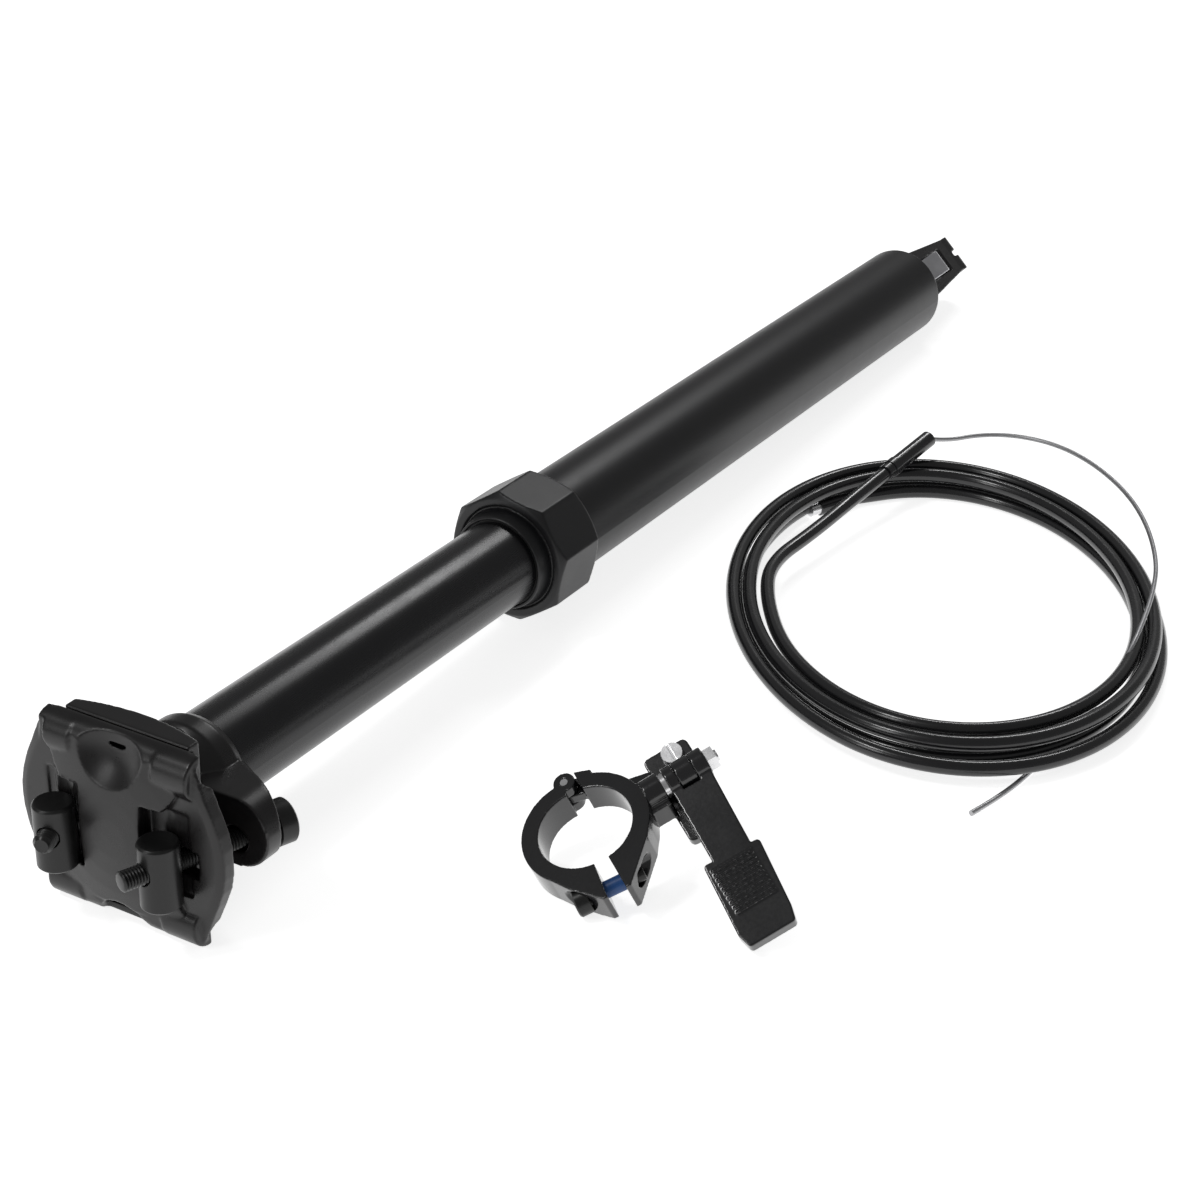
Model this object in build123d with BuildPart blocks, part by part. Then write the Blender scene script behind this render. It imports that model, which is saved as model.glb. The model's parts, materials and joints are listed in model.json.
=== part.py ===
from build123d import *
import math
import os

os.makedirs("parts", exist_ok=True)

# Dropper seatpost kit lying on a floor: telescopic post, handlebar remote and coiled cable.
# Lengths are in millimetres and angles in degrees.
# The origin is on the post axis at the shoulder of the seal collar, X runs to the cable end, Z is up.

# Fits and small allowances
running_fit = 0.05
seat_fit = 0.02
body_gap = 0.3
overrun = 1.0

# Lie of the post: head and tube rest on one floor, so the axis rises towards the saddle
post_lean = 1.72
floor_drop = 22.65

# Outer tube
tube_radius = 15.45
tube_wall = 1.35
tube_length = 240.0
tube_end_round = 1.0
spigot_step = 0.6
spigot_length = 14.0

# Stanchion and travel
travel = 120.0
stanchion_radius = 12.5
stanchion_wall = 1.8
stanchion_overlap = 88.0
head_station = 145.0
socket_depth = 14.0

# Guide keys and their grooves
key_count = 3
key_width = 3.9
key_length = 10.0
key_seat_depth = 1.0
key_tail_offset = 22.0
key_groove_depth = 0.6
key_groove_clearance = 0.1
key_groove_end = 4.0

# Bushings and wiper
bushing_length = 30.0
flange_thickness = 1.5
lower_bushing_length = 14.0
lower_bushing_offset = 4.0
lower_bushing_groove = 0.3
wiper_body_length = 4.9
wiper_body_radius = 13.6
wiper_lip_length = 3.5

# Seal collar
collar_sides = 8
collar_flats = 36.4
collar_length = 20.0
collar_chamfer = 1.6
collar_face_radius = 17.7
collar_clocking = 11.0
nose_groove_outer = 15.6
nose_groove_inner = 14.8
nose_groove_depth = 1.0
nose_length = 4.5
nose_tip_radius = 13.9
nose_bore_gap = 0.5

# Gas cartridge
cartridge_bore = 7.5
cartridge_wall = 1.0
cartridge_flange_length = 6.0
cartridge_cap_thickness = 4.0
gland_flange_length = 8.0
gland_spigot_length = 6.0
bumper_thickness = 2.0
bumper_inset = 0.3
rod_radius = 4.0
rod_stub_radius = 3.0
rod_stub_length = 10.0
rod_flange_radius = 7.0
rod_flange_length = 4.0
piston_length = 8.0
piston_groove_depth = 0.85
piston_groove_length = 3.0
piston_groove_inset = 2.5
floating_piston_station = 60.0
floating_piston_length = 10.0
floating_piston_wall = 2.0
floating_piston_floor = 4.0
release_pin_radius = 1.25
release_pin_overhang = 3.1

# Tail housing with the cable stop, and the actuator lever in its slot
tail_clocking = 45.0
tail_plug_length = 9.0
tail_length = 42.0
tail_base_half = 9.0
tail_tip_half = 6.5
tail_cheek_half = 9.75
tail_tip_cheek_half = 7.0
tail_taper_length = 34.0
tail_tip_round = 5.0
lever_slot_width = 9.0
lever_slot_length = 27.0
tip_slot_width = 2.1
cable_socket_radius = 2.6
cable_socket_depth = 6.0
cable_hole_radius = 0.9
pivot_radius = 1.6
pivot_offset = 4.5
pivot_drop = 8.0
pivot_head_inset = 0.35
lever_hub_radius = 3.2
nose_radius = 1.6
nose_drop = 5.3
barrel_radius = 1.95
barrel_offset = 9.2
barrel_drop = 14.0
barrel_wall = 1.4
barrel_wire_slot = 1.6

# Post head with its two ears
head_hub_radius = 15.0
head_lip_radius = 13.7
head_lip_length = 3.0
ear_half_width = 9.5
ear_reach = 36.0
ear_root_offset = 16.0
ear_root_station = 147.0
ear_tip_under = 162.0
ear_tip_top = 166.0
head_top = 168.0
ear_round = 1.2
cradle_radius = 14.0
cradle_centre = 176.0

# Saddle clamp
rail_radius = 3.5
rail_spread = 22.0
rail_station = 178.0
clamp_half_gap = 0.5
clamp_half_width = 28.3
clamp_corner_reach = 23.0
clamp_half_length = 31.0
clamp_shoulder_width = 9.0
clamp_bay_width = 18.0
clamp_crown = 191.0
clamp_dome_radius = 58.0
clamp_ridge_wall = 3.7
ridge_start = 11.5
scoop_radius = 12.0
scoop_centre = 29.5
clamp_corner_round = 3.0
cradle_plate_thickness = 7.0
cradle_waist_reach = 17.5
cradle_waist_width = 13.0
cradle_boss_gap = 0.3
cradle_skirt_round = 3.0

# Clamp bolts and barrel nuts, which lie to the low side of their slots
bolt_drop = 2.0
bolt_radius = 3.0
bolt_lean = 19.0
bolt_grip = 32.0
bolt_head_radius = 5.0
bolt_head_length = 6.0
bolt_seat_radius = 7.0
bolt_socket_radius = 2.9
bolt_socket_depth = 3.5
bolt_tail = 10.5
bolt_tip_chamfer = 0.5
nut_radius = 4.75
nut_length = 15.0
nut_bore_clearance = 0.35
nut_offset = 17.0
nut_station = 190.5
pocket_half_width = 10.5
pocket_floor = 184.5
pocket_reach = 26.0
bolt_slot_half_width = 5.6
bolt_slot_inner = 13.0
ear_slot_width = 7.6
seat_side_clearance = 0.6

# Remote: where its ring lies, and the way its axes point
remote_x = -112.9
remote_y = -84.1
remote_height = 15.45
ring_axis = (-0.4552, 0.0931, 0.8858)
ring_side = (0.6932, -0.5874, 0.418)

# Remote ring, lugs and neck
bar_radius = 11.1
bar_fit = 0.1
ring_radius = 15.5
ring_width = 9.0
strap_opening = 6.3
ring_end_gap = 3.4
hinge_offset = 0.2
hinge_boss_radius = 2.8
hinge_boss_gap = 0.4
hinge_pin_radius = 1.0
tongue_thickness = 2.8
tongue_gap = 0.15
lug_half_gap = 0.4
lug_tip_drop = 22.0
lug_tip_width = 1.2
strap_lug_reach = 8.3
strap_lug_drop = 15.0
body_lug_reach = 10.8
body_lug_drop = 12.0
lug_root_reach = 13.2
lug_root_drop = 8.0
body_pad_height = 1.3
body_pad_length = 4.0
neck_recess = 3.0
neck_start = 11.0
neck_end = 20.0
neck_top = 9.5
neck_end_top = 7.0
neck_bottom = 4.8
clamp_bolt_radius = 2.0
clamp_bolt_drop = 16.5
clamp_bolt_head_radius = 3.5
clamp_bolt_head_length = 4.0
clamp_bolt_seat = 5.0
clamp_bolt_reach = 9.5
clamp_bolt_socket_radius = 1.5
clamp_bolt_socket_depth = 2.0
clamp_slot_travel = 1.7
clamp_slot_clearance = 0.4

# Remote bracket, knuckles and lever
lever_droop = 12.0
knuckle_radius = 4.0
knuckle_height = 1.0
knuckle_sink = 3.2
boss_start = 15.5
boss_end = 20.3
washer_radius = 3.2
washer_thickness = 0.6
knuckle_play = 0.1
outer_knuckle_length = 2.7
middle_knuckle_length = 4.5
far_knuckle_length = 3.6
remote_bolt_radius = 1.5
remote_nut_flats = 5.5
remote_nut_thickness = 2.4
plate_thickness = 3.0
plate_gap = 0.3
plate_start = 19.3
plate_end = 31.5
plate_far = 11.0
plate_near = 14.6
plate_corner_round = 1.5
fork_slot_width = 5.6
fork_slot_start = 4.3
arm_start = 1.0
arm_root_near = 21.6
arm_root_far = 32.5
arm_end_near = 20.9
arm_end_far = 31.0
arm_length = 24.5
arm_top = 2.0
arm_bottom = 1.0
paddle_near = 18.5
paddle_far = 33.4
paddle_tip_near = 17.1
paddle_tip_far = 31.5
paddle_length = 48.3
paddle_drop = 1.5
paddle_round = 4.0
paddle_shoulder_round = 1.0
rib_count = 10
rib_pitch = 1.35
rib_width = 0.7
rib_height = 0.45
rib_side_margin = 1.2
rib_first = 1.2
anchor_lug_thickness = 3.0
anchor_drop = 9.0
anchor_back = 8.4
anchor_radius = 2.2
anchor_wall = 1.4
anchor_length = 4.6
stop_radius = 3.6
stop_start = 5.0
bracket_screw_radius = 1.5
bracket_screw_head_radius = 2.7
bracket_screw_head_height = 1.6
bracket_screw_back = 8.3
bracket_screw_slot = 0.8

# Cable housing: its coil lies on the floor in two layers, wound clockwise as seen from above
housing_radius = 2.1
coil_centre = (51.0, -104.0)
coil_heading = 30.0
coil_inner_reach = 75.0
coil_inner_width = 52.2
coil_reach_pitch = 7.0
coil_width_pitch = 4.75
coil_loops = 4
coil_start_angle = 24.0
coil_end_angle = 92.4
coil_knot_angle = 20.0
coil_start_share = 0.6
coil_out_share = 0.433
coil_floor_gap = 0.4
coil_layer_rise = 5.2
gap_step = 2.0
coil_lift = 1.6
coil_lift_angle = 200.0
coil_lift_window = 70.0
coil_step_share = 0.01

# Free stretch of the housing, as points with heights above the floor
lead_points = [
    (22.1, -61.2, 7.7),
    (42.3, -51.7, 7.7),
    (65.4, -54.3, 8.5),
    (88.5, -55.9, 10.0),
    (105.5, -58.6, 12.5),
]

# Sleeve, end cap and nipple on the housing
sleeve_radius = 2.6
sleeve_length = 24.0
sleeve_step = 0.25
sleeve_lip_length = 3.0
cap_radius = 2.45
cap_length = 8.0
nipple_radius = 2.0
nipple_length = 3.5

# Bare inner wire, as points with heights above the floor
wire_radius = 0.7
wire_points = [
    (137.3, -65.1, 12.6),
    (146.2, -72.6, 13.1),
    (151.2, -84.0, 13.5),
    (149.9, -98.5, 14.0),
    (142.2, -113.7, 14.0),
    (128.9, -129.5, 13.5),
    (112.1, -142.0, 13.0),
    (92.6, -152.0, 12.5),
    (76.0, -157.0, 12.2),
    (59.3, -160.4, 11.8),
    (45.0, -162.6, 11.1),
    (34.5, -161.6, 5.4),
    (24.1, -160.4, 1.4),
    (8.0, -159.3, 0.75),
    (-10.0, -158.2, 0.75),
    (-26.0, -156.5, 0.75),
    (-36.5, -153.5, 0.75),
]
bead_radius = 0.74
bead_length = 3.0
cord_corner_share = 0.45

# Planes of the post: z towards the saddle, x fore and aft, y across the rails
lean_cos = math.cos(math.radians(post_lean))
lean_sin = math.sin(math.radians(post_lean))
POST = Plane(origin=(0, 0, 0), x_dir=(0, -1, 0), z_dir=(-lean_cos, 0, lean_sin))
POST_AXIS = Axis((0, 0, 0), POST.z_dir)
POST_SIDE = Plane(origin=(0, 0, 0), x_dir=POST.x_dir, z_dir=-POST.y_dir)
POST_FRONT = Plane(origin=(0, 0, 0), x_dir=POST.y_dir, z_dir=POST.x_dir)
tail_turn = math.radians(tail_clocking)
tail_swing = POST.x_dir * math.cos(tail_turn) + POST.y_dir * math.sin(tail_turn)
TAIL = Plane(origin=(0, 0, 0), x_dir=tail_swing, z_dir=POST.z_dir)
TAIL_SIDE = Plane(origin=(0, 0, 0), x_dir=TAIL.x_dir, z_dir=-TAIL.y_dir)
TAIL_FRONT = Plane(origin=(0, 0, 0), x_dir=TAIL.y_dir, z_dir=TAIL.x_dir)

# Sizes that follow from the driving dimensions
tube_bore = tube_radius - tube_wall
spigot_radius = tube_radius - spigot_step
stanchion_bore = stanchion_radius - stanchion_wall
stanchion_tail = -stanchion_overlap
stanchion_top = head_station + socket_depth
bushing_top = spigot_length + flange_thickness
wiper_top = bushing_top + wiper_body_length
gland_top = stanchion_tail + gland_flange_length
bumper_base = gland_top + gland_spigot_length
piston_base = bumper_base + bumper_thickness + body_gap
rod_base = -tube_length - overrun
plug_top = rod_base + tail_plug_length
rod_bore = release_pin_radius + running_fit


def turn(points, mode=Mode.ADD, plane=POST_SIDE, axis=POST_AXIS):
    """Revolve a closed (radius, station) outline about an axis into the open part."""
    with BuildSketch(plane) as outline:
        with BuildLine():
            Polyline(*points, close=True)
        make_face()
    revolve(outline.sketch, axis=axis, mode=mode)


def prism(points, plane, amount, mode=Mode.ADD, both=False):
    """Extrude a closed outline drawn on a plane into the open part."""
    with BuildSketch(plane) as outline:
        with BuildLine():
            Polyline(*points, close=True)
        make_face()
    extrude(outline.sketch, amount=amount, both=both, mode=mode)


def disc(plane, centre, radius, amount, mode=Mode.ADD, both=False):
    """Extrude a circle drawn on a plane into the open part."""
    with BuildSketch(plane) as outline:
        with Locations(centre):
            Circle(radius)
    extrude(outline.sketch, amount=amount, both=both, mode=mode)


def block(plane, corner_a, corner_b, amount, mode=Mode.ADD, both=False):
    """Extrude a rectangle given by two corners into the open part."""
    (x_a, y_a), (x_b, y_b) = corner_a, corner_b
    prism([(x_a, y_a), (x_b, y_a), (x_b, y_b), (x_a, y_b)], plane, amount, mode, both)


# Outer tube: rounded tail rim, spigot for the collar, three key grooves inside
with BuildPart() as outer_tube:
    turn([
        (tube_bore, -tube_length),
        (tube_radius, -tube_length),
        (tube_radius, 0),
        (spigot_radius, 0),
        (spigot_radius, spigot_length),
        (tube_bore, spigot_length),
    ])
    fillet(outer_tube.faces().sort_by(POST_AXIS)[0].outer_wire().edges(), radius=tube_end_round)
    with BuildSketch(POST.offset(plug_top + key_groove_end)) as groove_ends:
        with PolarLocations(tube_bore, key_count):
            Rectangle(key_groove_depth * 2, key_width + key_groove_clearance)
    groove_length = -bushing_length + bushing_top - plug_top - key_groove_end * 2
    extrude(groove_ends.sketch, amount=groove_length, mode=Mode.SUBTRACT)
outer_tube.part.label = "outer_tube"
export_step(outer_tube.part, "parts/outer_tube.step")

# Collar bushing: a flanged sleeve in the mouth of the outer tube
with BuildPart() as collar_bushing:
    turn([
        (stanchion_radius + running_fit, bushing_top - bushing_length),
        (tube_bore - seat_fit, bushing_top - bushing_length),
        (tube_bore - seat_fit, spigot_length),
        (spigot_radius, spigot_length),
        (spigot_radius, bushing_top),
        (stanchion_radius + running_fit, bushing_top),
    ])
collar_bushing.part.label = "collar_bushing"
export_step(collar_bushing.part, "parts/collar_bushing.step")

# Seal collar: a chamfered octagon with a grooved conical nose
with BuildPart() as seal_collar:
    corner_radius = collar_flats / math.cos(math.pi / collar_sides) / 2
    nose_bore = stanchion_radius + nose_bore_gap
    turn([
        (spigot_radius + seat_fit, 0),
        (collar_face_radius, 0),
        (corner_radius, collar_chamfer),
        (corner_radius, collar_length - collar_chamfer),
        (collar_face_radius, collar_length),
        (nose_groove_outer, collar_length),
        (nose_groove_outer, collar_length - nose_groove_depth),
        (nose_groove_inner, collar_length - nose_groove_depth),
        (nose_tip_radius, collar_length + nose_length),
        (nose_bore, collar_length + nose_length),
        (nose_bore, wiper_top),
        (wiper_body_radius, wiper_top),
        (wiper_body_radius, bushing_top),
        (spigot_radius + seat_fit, bushing_top),
    ])
    with BuildSketch(POST) as octagon:
        RegularPolygon(corner_radius, collar_sides, rotation=collar_clocking)
    extrude(octagon.sketch, amount=collar_length + nose_length, mode=Mode.INTERSECT)
seal_collar.part.label = "seal_collar"
export_step(seal_collar.part, "parts/seal_collar.step")

# Wiper seal: its body in the collar, its lip on the stanchion
with BuildPart() as wiper_seal:
    turn([
        (stanchion_radius + running_fit, bushing_top),
        (wiper_body_radius - seat_fit, bushing_top),
        (wiper_body_radius - seat_fit, wiper_top),
        (nose_bore - seat_fit, wiper_top),
        (nose_bore - seat_fit, wiper_top + wiper_lip_length),
        (stanchion_radius + running_fit, wiper_top + wiper_lip_length),
    ])
wiper_seal.part.label = "wiper_seal"
export_step(wiper_seal.part, "parts/wiper_seal.step")

# Stanchion tube with a groove for the lower bushing and seats for the keys
key_base = stanchion_tail + key_tail_offset
ring_base = stanchion_tail + lower_bushing_offset
ring_top = ring_base + lower_bushing_length
ring_seat = stanchion_radius - lower_bushing_groove
with BuildPart() as stanchion_tube:
    turn([
        (stanchion_bore, stanchion_tail),
        (stanchion_radius, stanchion_tail),
        (stanchion_radius, ring_base),
        (ring_seat, ring_base),
        (ring_seat, ring_top),
        (stanchion_radius, ring_top),
        (stanchion_radius, stanchion_top),
        (stanchion_bore, stanchion_top),
    ])
    with BuildSketch(POST.offset(key_base)) as key_seats:
        with PolarLocations(stanchion_radius, key_count):
            Rectangle(key_seat_depth * 2, key_width + seat_fit * 2)
    extrude(key_seats.sketch, amount=key_length, mode=Mode.SUBTRACT)
stanchion_tube.part.label = "stanchion_tube"
export_step(stanchion_tube.part, "parts/stanchion_tube.step")

# Lower bushing: a split ring in the stanchion's groove, running in the outer tube
with BuildPart() as stanchion_bushing:
    turn([
        (ring_seat + seat_fit, ring_base),
        (tube_bore - running_fit, ring_base),
        (tube_bore - running_fit, ring_top),
        (ring_seat + seat_fit, ring_top),
    ])
stanchion_bushing.part.label = "stanchion_bushing"
export_step(stanchion_bushing.part, "parts/stanchion_bushing.step")

# Guide keys: they stop the stanchion turning in the outer tube
key_inner = stanchion_radius - key_seat_depth + seat_fit
key_outer = tube_bore + key_groove_depth - key_groove_clearance
with BuildPart() as guide_keys:
    with BuildSketch(POST.offset(key_base)) as key_ends:
        with PolarLocations((key_inner + key_outer) / 2, key_count):
            Rectangle(key_outer - key_inner, key_width)
    extrude(key_ends.sketch, amount=key_length)
guide_keys.part.label = "guide_keys"
export_step(guide_keys.part, "parts/guide_keys.step")

# Cartridge body: a closed cylinder hung from the head inside the stanchion
with BuildPart() as cartridge_body:
    turn([
        (0, stanchion_top - cartridge_cap_thickness),
        (cartridge_bore, stanchion_top - cartridge_cap_thickness),
        (cartridge_bore, gland_top),
        (cartridge_bore + cartridge_wall, gland_top),
        (cartridge_bore + cartridge_wall, stanchion_top - cartridge_flange_length),
        (stanchion_bore - seat_fit, stanchion_top - cartridge_flange_length),
        (stanchion_bore - seat_fit, stanchion_top),
        (0, stanchion_top),
    ])
cartridge_body.part.label = "cartridge_body"
export_step(cartridge_body.part, "parts/cartridge_body.step")

# Cartridge gland: it closes the cartridge round the rod
with BuildPart() as cartridge_gland:
    turn([
        (rod_radius + running_fit, stanchion_tail),
        (stanchion_bore - seat_fit, stanchion_tail),
        (stanchion_bore - seat_fit, gland_top),
        (cartridge_bore - seat_fit, gland_top),
        (cartridge_bore - seat_fit, bumper_base),
        (rod_radius + running_fit, bumper_base),
    ])
cartridge_gland.part.label = "cartridge_gland"
export_step(cartridge_gland.part, "parts/cartridge_gland.step")

# Top-out bumper: a rubber ring on the gland
with BuildPart() as top_out_bumper:
    turn([
        (rod_radius + bumper_inset, bumper_base),
        (cartridge_bore - bumper_inset, bumper_base),
        (cartridge_bore - bumper_inset, bumper_base + bumper_thickness),
        (rod_radius + bumper_inset, bumper_base + bumper_thickness),
    ])
top_out_bumper.part.label = "top_out_bumper"
export_step(top_out_bumper.part, "parts/top_out_bumper.step")

# Cartridge rod: fixed in the tail housing, drilled for the release pin
with BuildPart() as cartridge_rod:
    turn([
        (rod_bore, rod_base),
        (rod_radius, rod_base),
        (rod_radius, plug_top),
        (rod_flange_radius, plug_top),
        (rod_flange_radius, plug_top + rod_flange_length),
        (rod_radius, plug_top + rod_flange_length),
        (rod_radius, piston_base),
        (rod_stub_radius, piston_base),
        (rod_stub_radius, piston_base + rod_stub_length),
        (rod_bore, piston_base + rod_stub_length),
    ])
cartridge_rod.part.label = "cartridge_rod"
export_step(cartridge_rod.part, "parts/cartridge_rod.step")

# Cartridge piston: seated on the rod's shoulder, with a ring groove
groove_low = piston_base + piston_groove_inset
groove_high = groove_low + piston_groove_length
piston_radius = cartridge_bore - running_fit
with BuildPart() as cartridge_piston:
    turn([
        (rod_stub_radius + seat_fit, piston_base),
        (piston_radius, piston_base),
        (piston_radius, groove_low),
        (piston_radius - piston_groove_depth, groove_low),
        (piston_radius - piston_groove_depth, groove_high),
        (piston_radius, groove_high),
        (piston_radius, piston_base + piston_length),
        (rod_stub_radius + seat_fit, piston_base + piston_length),
    ])
cartridge_piston.part.label = "cartridge_piston"
export_step(cartridge_piston.part, "parts/cartridge_piston.step")

# Piston ring in the piston's groove
with BuildPart() as piston_ring:
    turn([
        (piston_radius - piston_groove_depth + seat_fit, groove_low),
        (piston_radius, groove_low),
        (piston_radius, groove_high),
        (piston_radius - piston_groove_depth + seat_fit, groove_high),
    ])
piston_ring.part.label = "piston_ring"
export_step(piston_ring.part, "parts/piston_ring.step")

# Floating piston: a cup that parts gas from oil
floating_top = floating_piston_station + floating_piston_length
with BuildPart() as floating_piston:
    turn([
        (0, floating_piston_station),
        (piston_radius, floating_piston_station),
        (piston_radius, floating_top),
        (piston_radius - floating_piston_wall, floating_top),
        (piston_radius - floating_piston_wall, floating_piston_station + floating_piston_floor),
        (0, floating_piston_station + floating_piston_floor),
    ])
floating_piston.part.label = "floating_piston"
export_step(floating_piston.part, "parts/floating_piston.step")

# Release pin: it runs through the rod and stands out under the plug
pin_base = rod_base - release_pin_overhang
with BuildPart() as release_pin:
    disc(POST.offset(pin_base), (0, 0), release_pin_radius, piston_base + rod_stub_length - pin_base)
release_pin.part.label = "release_pin"
export_step(release_pin.part, "parts/release_pin.step")

# Tail housing: a plug in the tube, two tapered cheeks and a slotted cable stop at the tip
tail_end = -tube_length - tail_length
taper_end = -tube_length - tail_taper_length
slot_floor = rod_base - lever_slot_length
pivot_station = rod_base - pivot_drop
with BuildPart() as tail_housing:
    prism([
        (-tail_base_half, rod_base),
        (tail_base_half, rod_base),
        (tail_tip_half, taper_end),
        (tail_tip_half, tail_end),
        (-tail_tip_half, tail_end),
        (-tail_tip_half, taper_end),
    ], TAIL_SIDE, tail_cheek_half, both=True)
    tip_face = tail_housing.faces().sort_by(POST_AXIS)[0]
    fillet(tip_face.edges().filter_by(Axis((0, 0, 0), TAIL.y_dir)), radius=tail_tip_round)
    prism([
        (-tail_cheek_half, rod_base),
        (tail_cheek_half, rod_base),
        (tail_tip_cheek_half, taper_end),
        (tail_tip_cheek_half, tail_end),
        (-tail_tip_cheek_half, tail_end),
        (-tail_tip_cheek_half, taper_end),
    ], TAIL_FRONT, tail_base_half + overrun, mode=Mode.INTERSECT, both=True)
    disc(TAIL.offset(rod_base), (0, 0), tube_bore - seat_fit, tail_plug_length)
    block(TAIL_SIDE, (-tail_base_half - overrun, rod_base), (tail_base_half + overrun, slot_floor),
          lever_slot_width / 2, Mode.SUBTRACT, both=True)
    block(TAIL_SIDE, (-tail_base_half, tail_end + cable_socket_depth), (tail_base_half, tail_end - overrun),
          tip_slot_width / 2, Mode.SUBTRACT, both=True)
    disc(TAIL.offset(tail_end - overrun), (0, 0), cable_socket_radius, cable_socket_depth + overrun,
         Mode.SUBTRACT)
    disc(TAIL.offset(tail_end), (0, 0), cable_hole_radius, slot_floor - tail_end, Mode.SUBTRACT)
    disc(TAIL.offset(rod_base), (0, 0), rod_radius + seat_fit, tail_plug_length, Mode.SUBTRACT)
    disc(TAIL_SIDE, (pivot_offset, pivot_station), pivot_radius + seat_fit, tail_cheek_half + overrun,
         Mode.SUBTRACT, both=True)
tail_housing.part.label = "tail_housing"
export_step(tail_housing.part, "parts/tail_housing.step")

# Actuator pivot pin across both cheeks
with BuildPart() as actuator_pivot:
    disc(TAIL_SIDE, (pivot_offset, pivot_station), pivot_radius, tail_cheek_half - pivot_head_inset * 2,
         both=True)
actuator_pivot.part.label = "actuator_pivot"
export_step(actuator_pivot.part, "parts/actuator_pivot.step")

# Actuator lever: a nose under the release pin, a hub on the pivot and a seat for the cable barrel
nose_station = pin_base - body_gap - nose_radius
barrel_station = rod_base - barrel_drop
lever_half = lever_slot_width / 2 - body_gap
with BuildPart() as actuator_lever:
    with BuildSketch(TAIL_SIDE) as lever_outline:
        with Locations((pivot_offset, pivot_station)):
            Circle(lever_hub_radius)
        with Locations((0, nose_station)):
            Circle(nose_radius)
        make_hull()
    extrude(lever_outline.sketch, amount=lever_half, both=True)
    with BuildSketch(TAIL_SIDE) as barrel_outline:
        with Locations((pivot_offset, pivot_station)):
            Circle(lever_hub_radius)
        with Locations((barrel_offset, barrel_station)):
            Circle(barrel_radius + barrel_wall)
        make_hull()
    extrude(barrel_outline.sketch, amount=lever_half, both=True)
    disc(TAIL_SIDE, (pivot_offset, pivot_station), pivot_radius + running_fit, lever_slot_width,
         Mode.SUBTRACT, both=True)
    disc(TAIL_SIDE, (barrel_offset, barrel_station), barrel_radius + seat_fit, lever_slot_width,
         Mode.SUBTRACT, both=True)
    block(TAIL_SIDE, (barrel_offset - barrel_radius, barrel_station),
          (barrel_offset, barrel_station - barrel_radius - barrel_wall - overrun),
          barrel_wire_slot / 2, Mode.SUBTRACT, both=True)
actuator_lever.part.label = "actuator_lever"
export_step(actuator_lever.part, "parts/actuator_lever.step")

# Cable barrel in the actuator lever, cross drilled for the wire
with BuildPart() as cable_barrel:
    disc(TAIL_SIDE, (barrel_offset, barrel_station), barrel_radius, lever_half, both=True)
    disc(TAIL.offset(barrel_station - barrel_radius * 2), (barrel_offset - cable_hole_radius, 0),
         cable_hole_radius, barrel_radius * 4, Mode.SUBTRACT)
cable_barrel.part.label = "cable_barrel"
export_step(cable_barrel.part, "parts/cable_barrel.step")


def bolt_plane(side):
    """Plane at a barrel nut's centre, its z along the clamp bolt, for the side +1 or -1."""
    lean = math.radians(bolt_lean)
    along = POST.z_dir * math.cos(lean) - POST.x_dir * (math.sin(lean) * side)
    centre = POST.from_local_coords(Vector(nut_offset * side, -bolt_drop, nut_station))
    return Plane(origin=centre, x_dir=POST.y_dir, z_dir=along)


def bolt_seat_plane(side):
    """Plane across the post through the point about which a clamp bolt swings in its ear."""
    swing_centre = bolt_plane(side).offset(-bolt_grip - bolt_seat_radius).origin
    return Plane(origin=swing_centre, x_dir=POST.x_dir, z_dir=-POST.y_dir)


# Post head: a socket on the stanchion, two ears with rounded bolt seats and a seat for the cradle
with BuildPart() as post_head:
    prism([
        (-ear_reach, ear_tip_top),
        (-ear_reach, ear_tip_under),
        (-ear_root_offset, ear_root_station),
        (ear_root_offset, ear_root_station),
        (ear_reach, ear_tip_under),
        (ear_reach, ear_tip_top),
        (nut_offset, head_top),
        (-nut_offset, head_top),
    ], POST_SIDE, ear_half_width, both=True)
    with BuildSketch(POST) as ear_plan:
        SlotOverall(ear_reach * 2, ear_half_width * 2)
    extrude(ear_plan.sketch, amount=head_top + overrun, mode=Mode.INTERSECT)
    turn([
        (0, head_station),
        (head_lip_radius, head_station),
        (head_hub_radius, head_station + head_lip_length),
        (head_hub_radius, stanchion_top),
        (ear_half_width, head_top - ear_round),
        (0, head_top - ear_round),
    ])
    disc(POST_SIDE, (0, cradle_centre), cradle_radius, clamp_half_width, Mode.SUBTRACT, both=True)
    disc(POST.offset(head_station - overrun), (0, 0), stanchion_radius + seat_fit,
         socket_depth + overrun, Mode.SUBTRACT)
    for side in (1, -1):
        disc(bolt_seat_plane(side), (0, 0), bolt_seat_radius + running_fit,
             bolt_head_radius + seat_side_clearance, Mode.SUBTRACT, both=True)
        with BuildSketch(bolt_plane(side).offset(-bolt_grip - overrun)) as ear_slot:
            with Locations((bolt_drop / 2, 0)):
                SlotOverall(ear_slot_width + bolt_drop, ear_slot_width)
        extrude(ear_slot.sketch, amount=cradle_radius, mode=Mode.SUBTRACT)
post_head.part.label = "post_head"
export_step(post_head.part, "parts/post_head.step")

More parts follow.
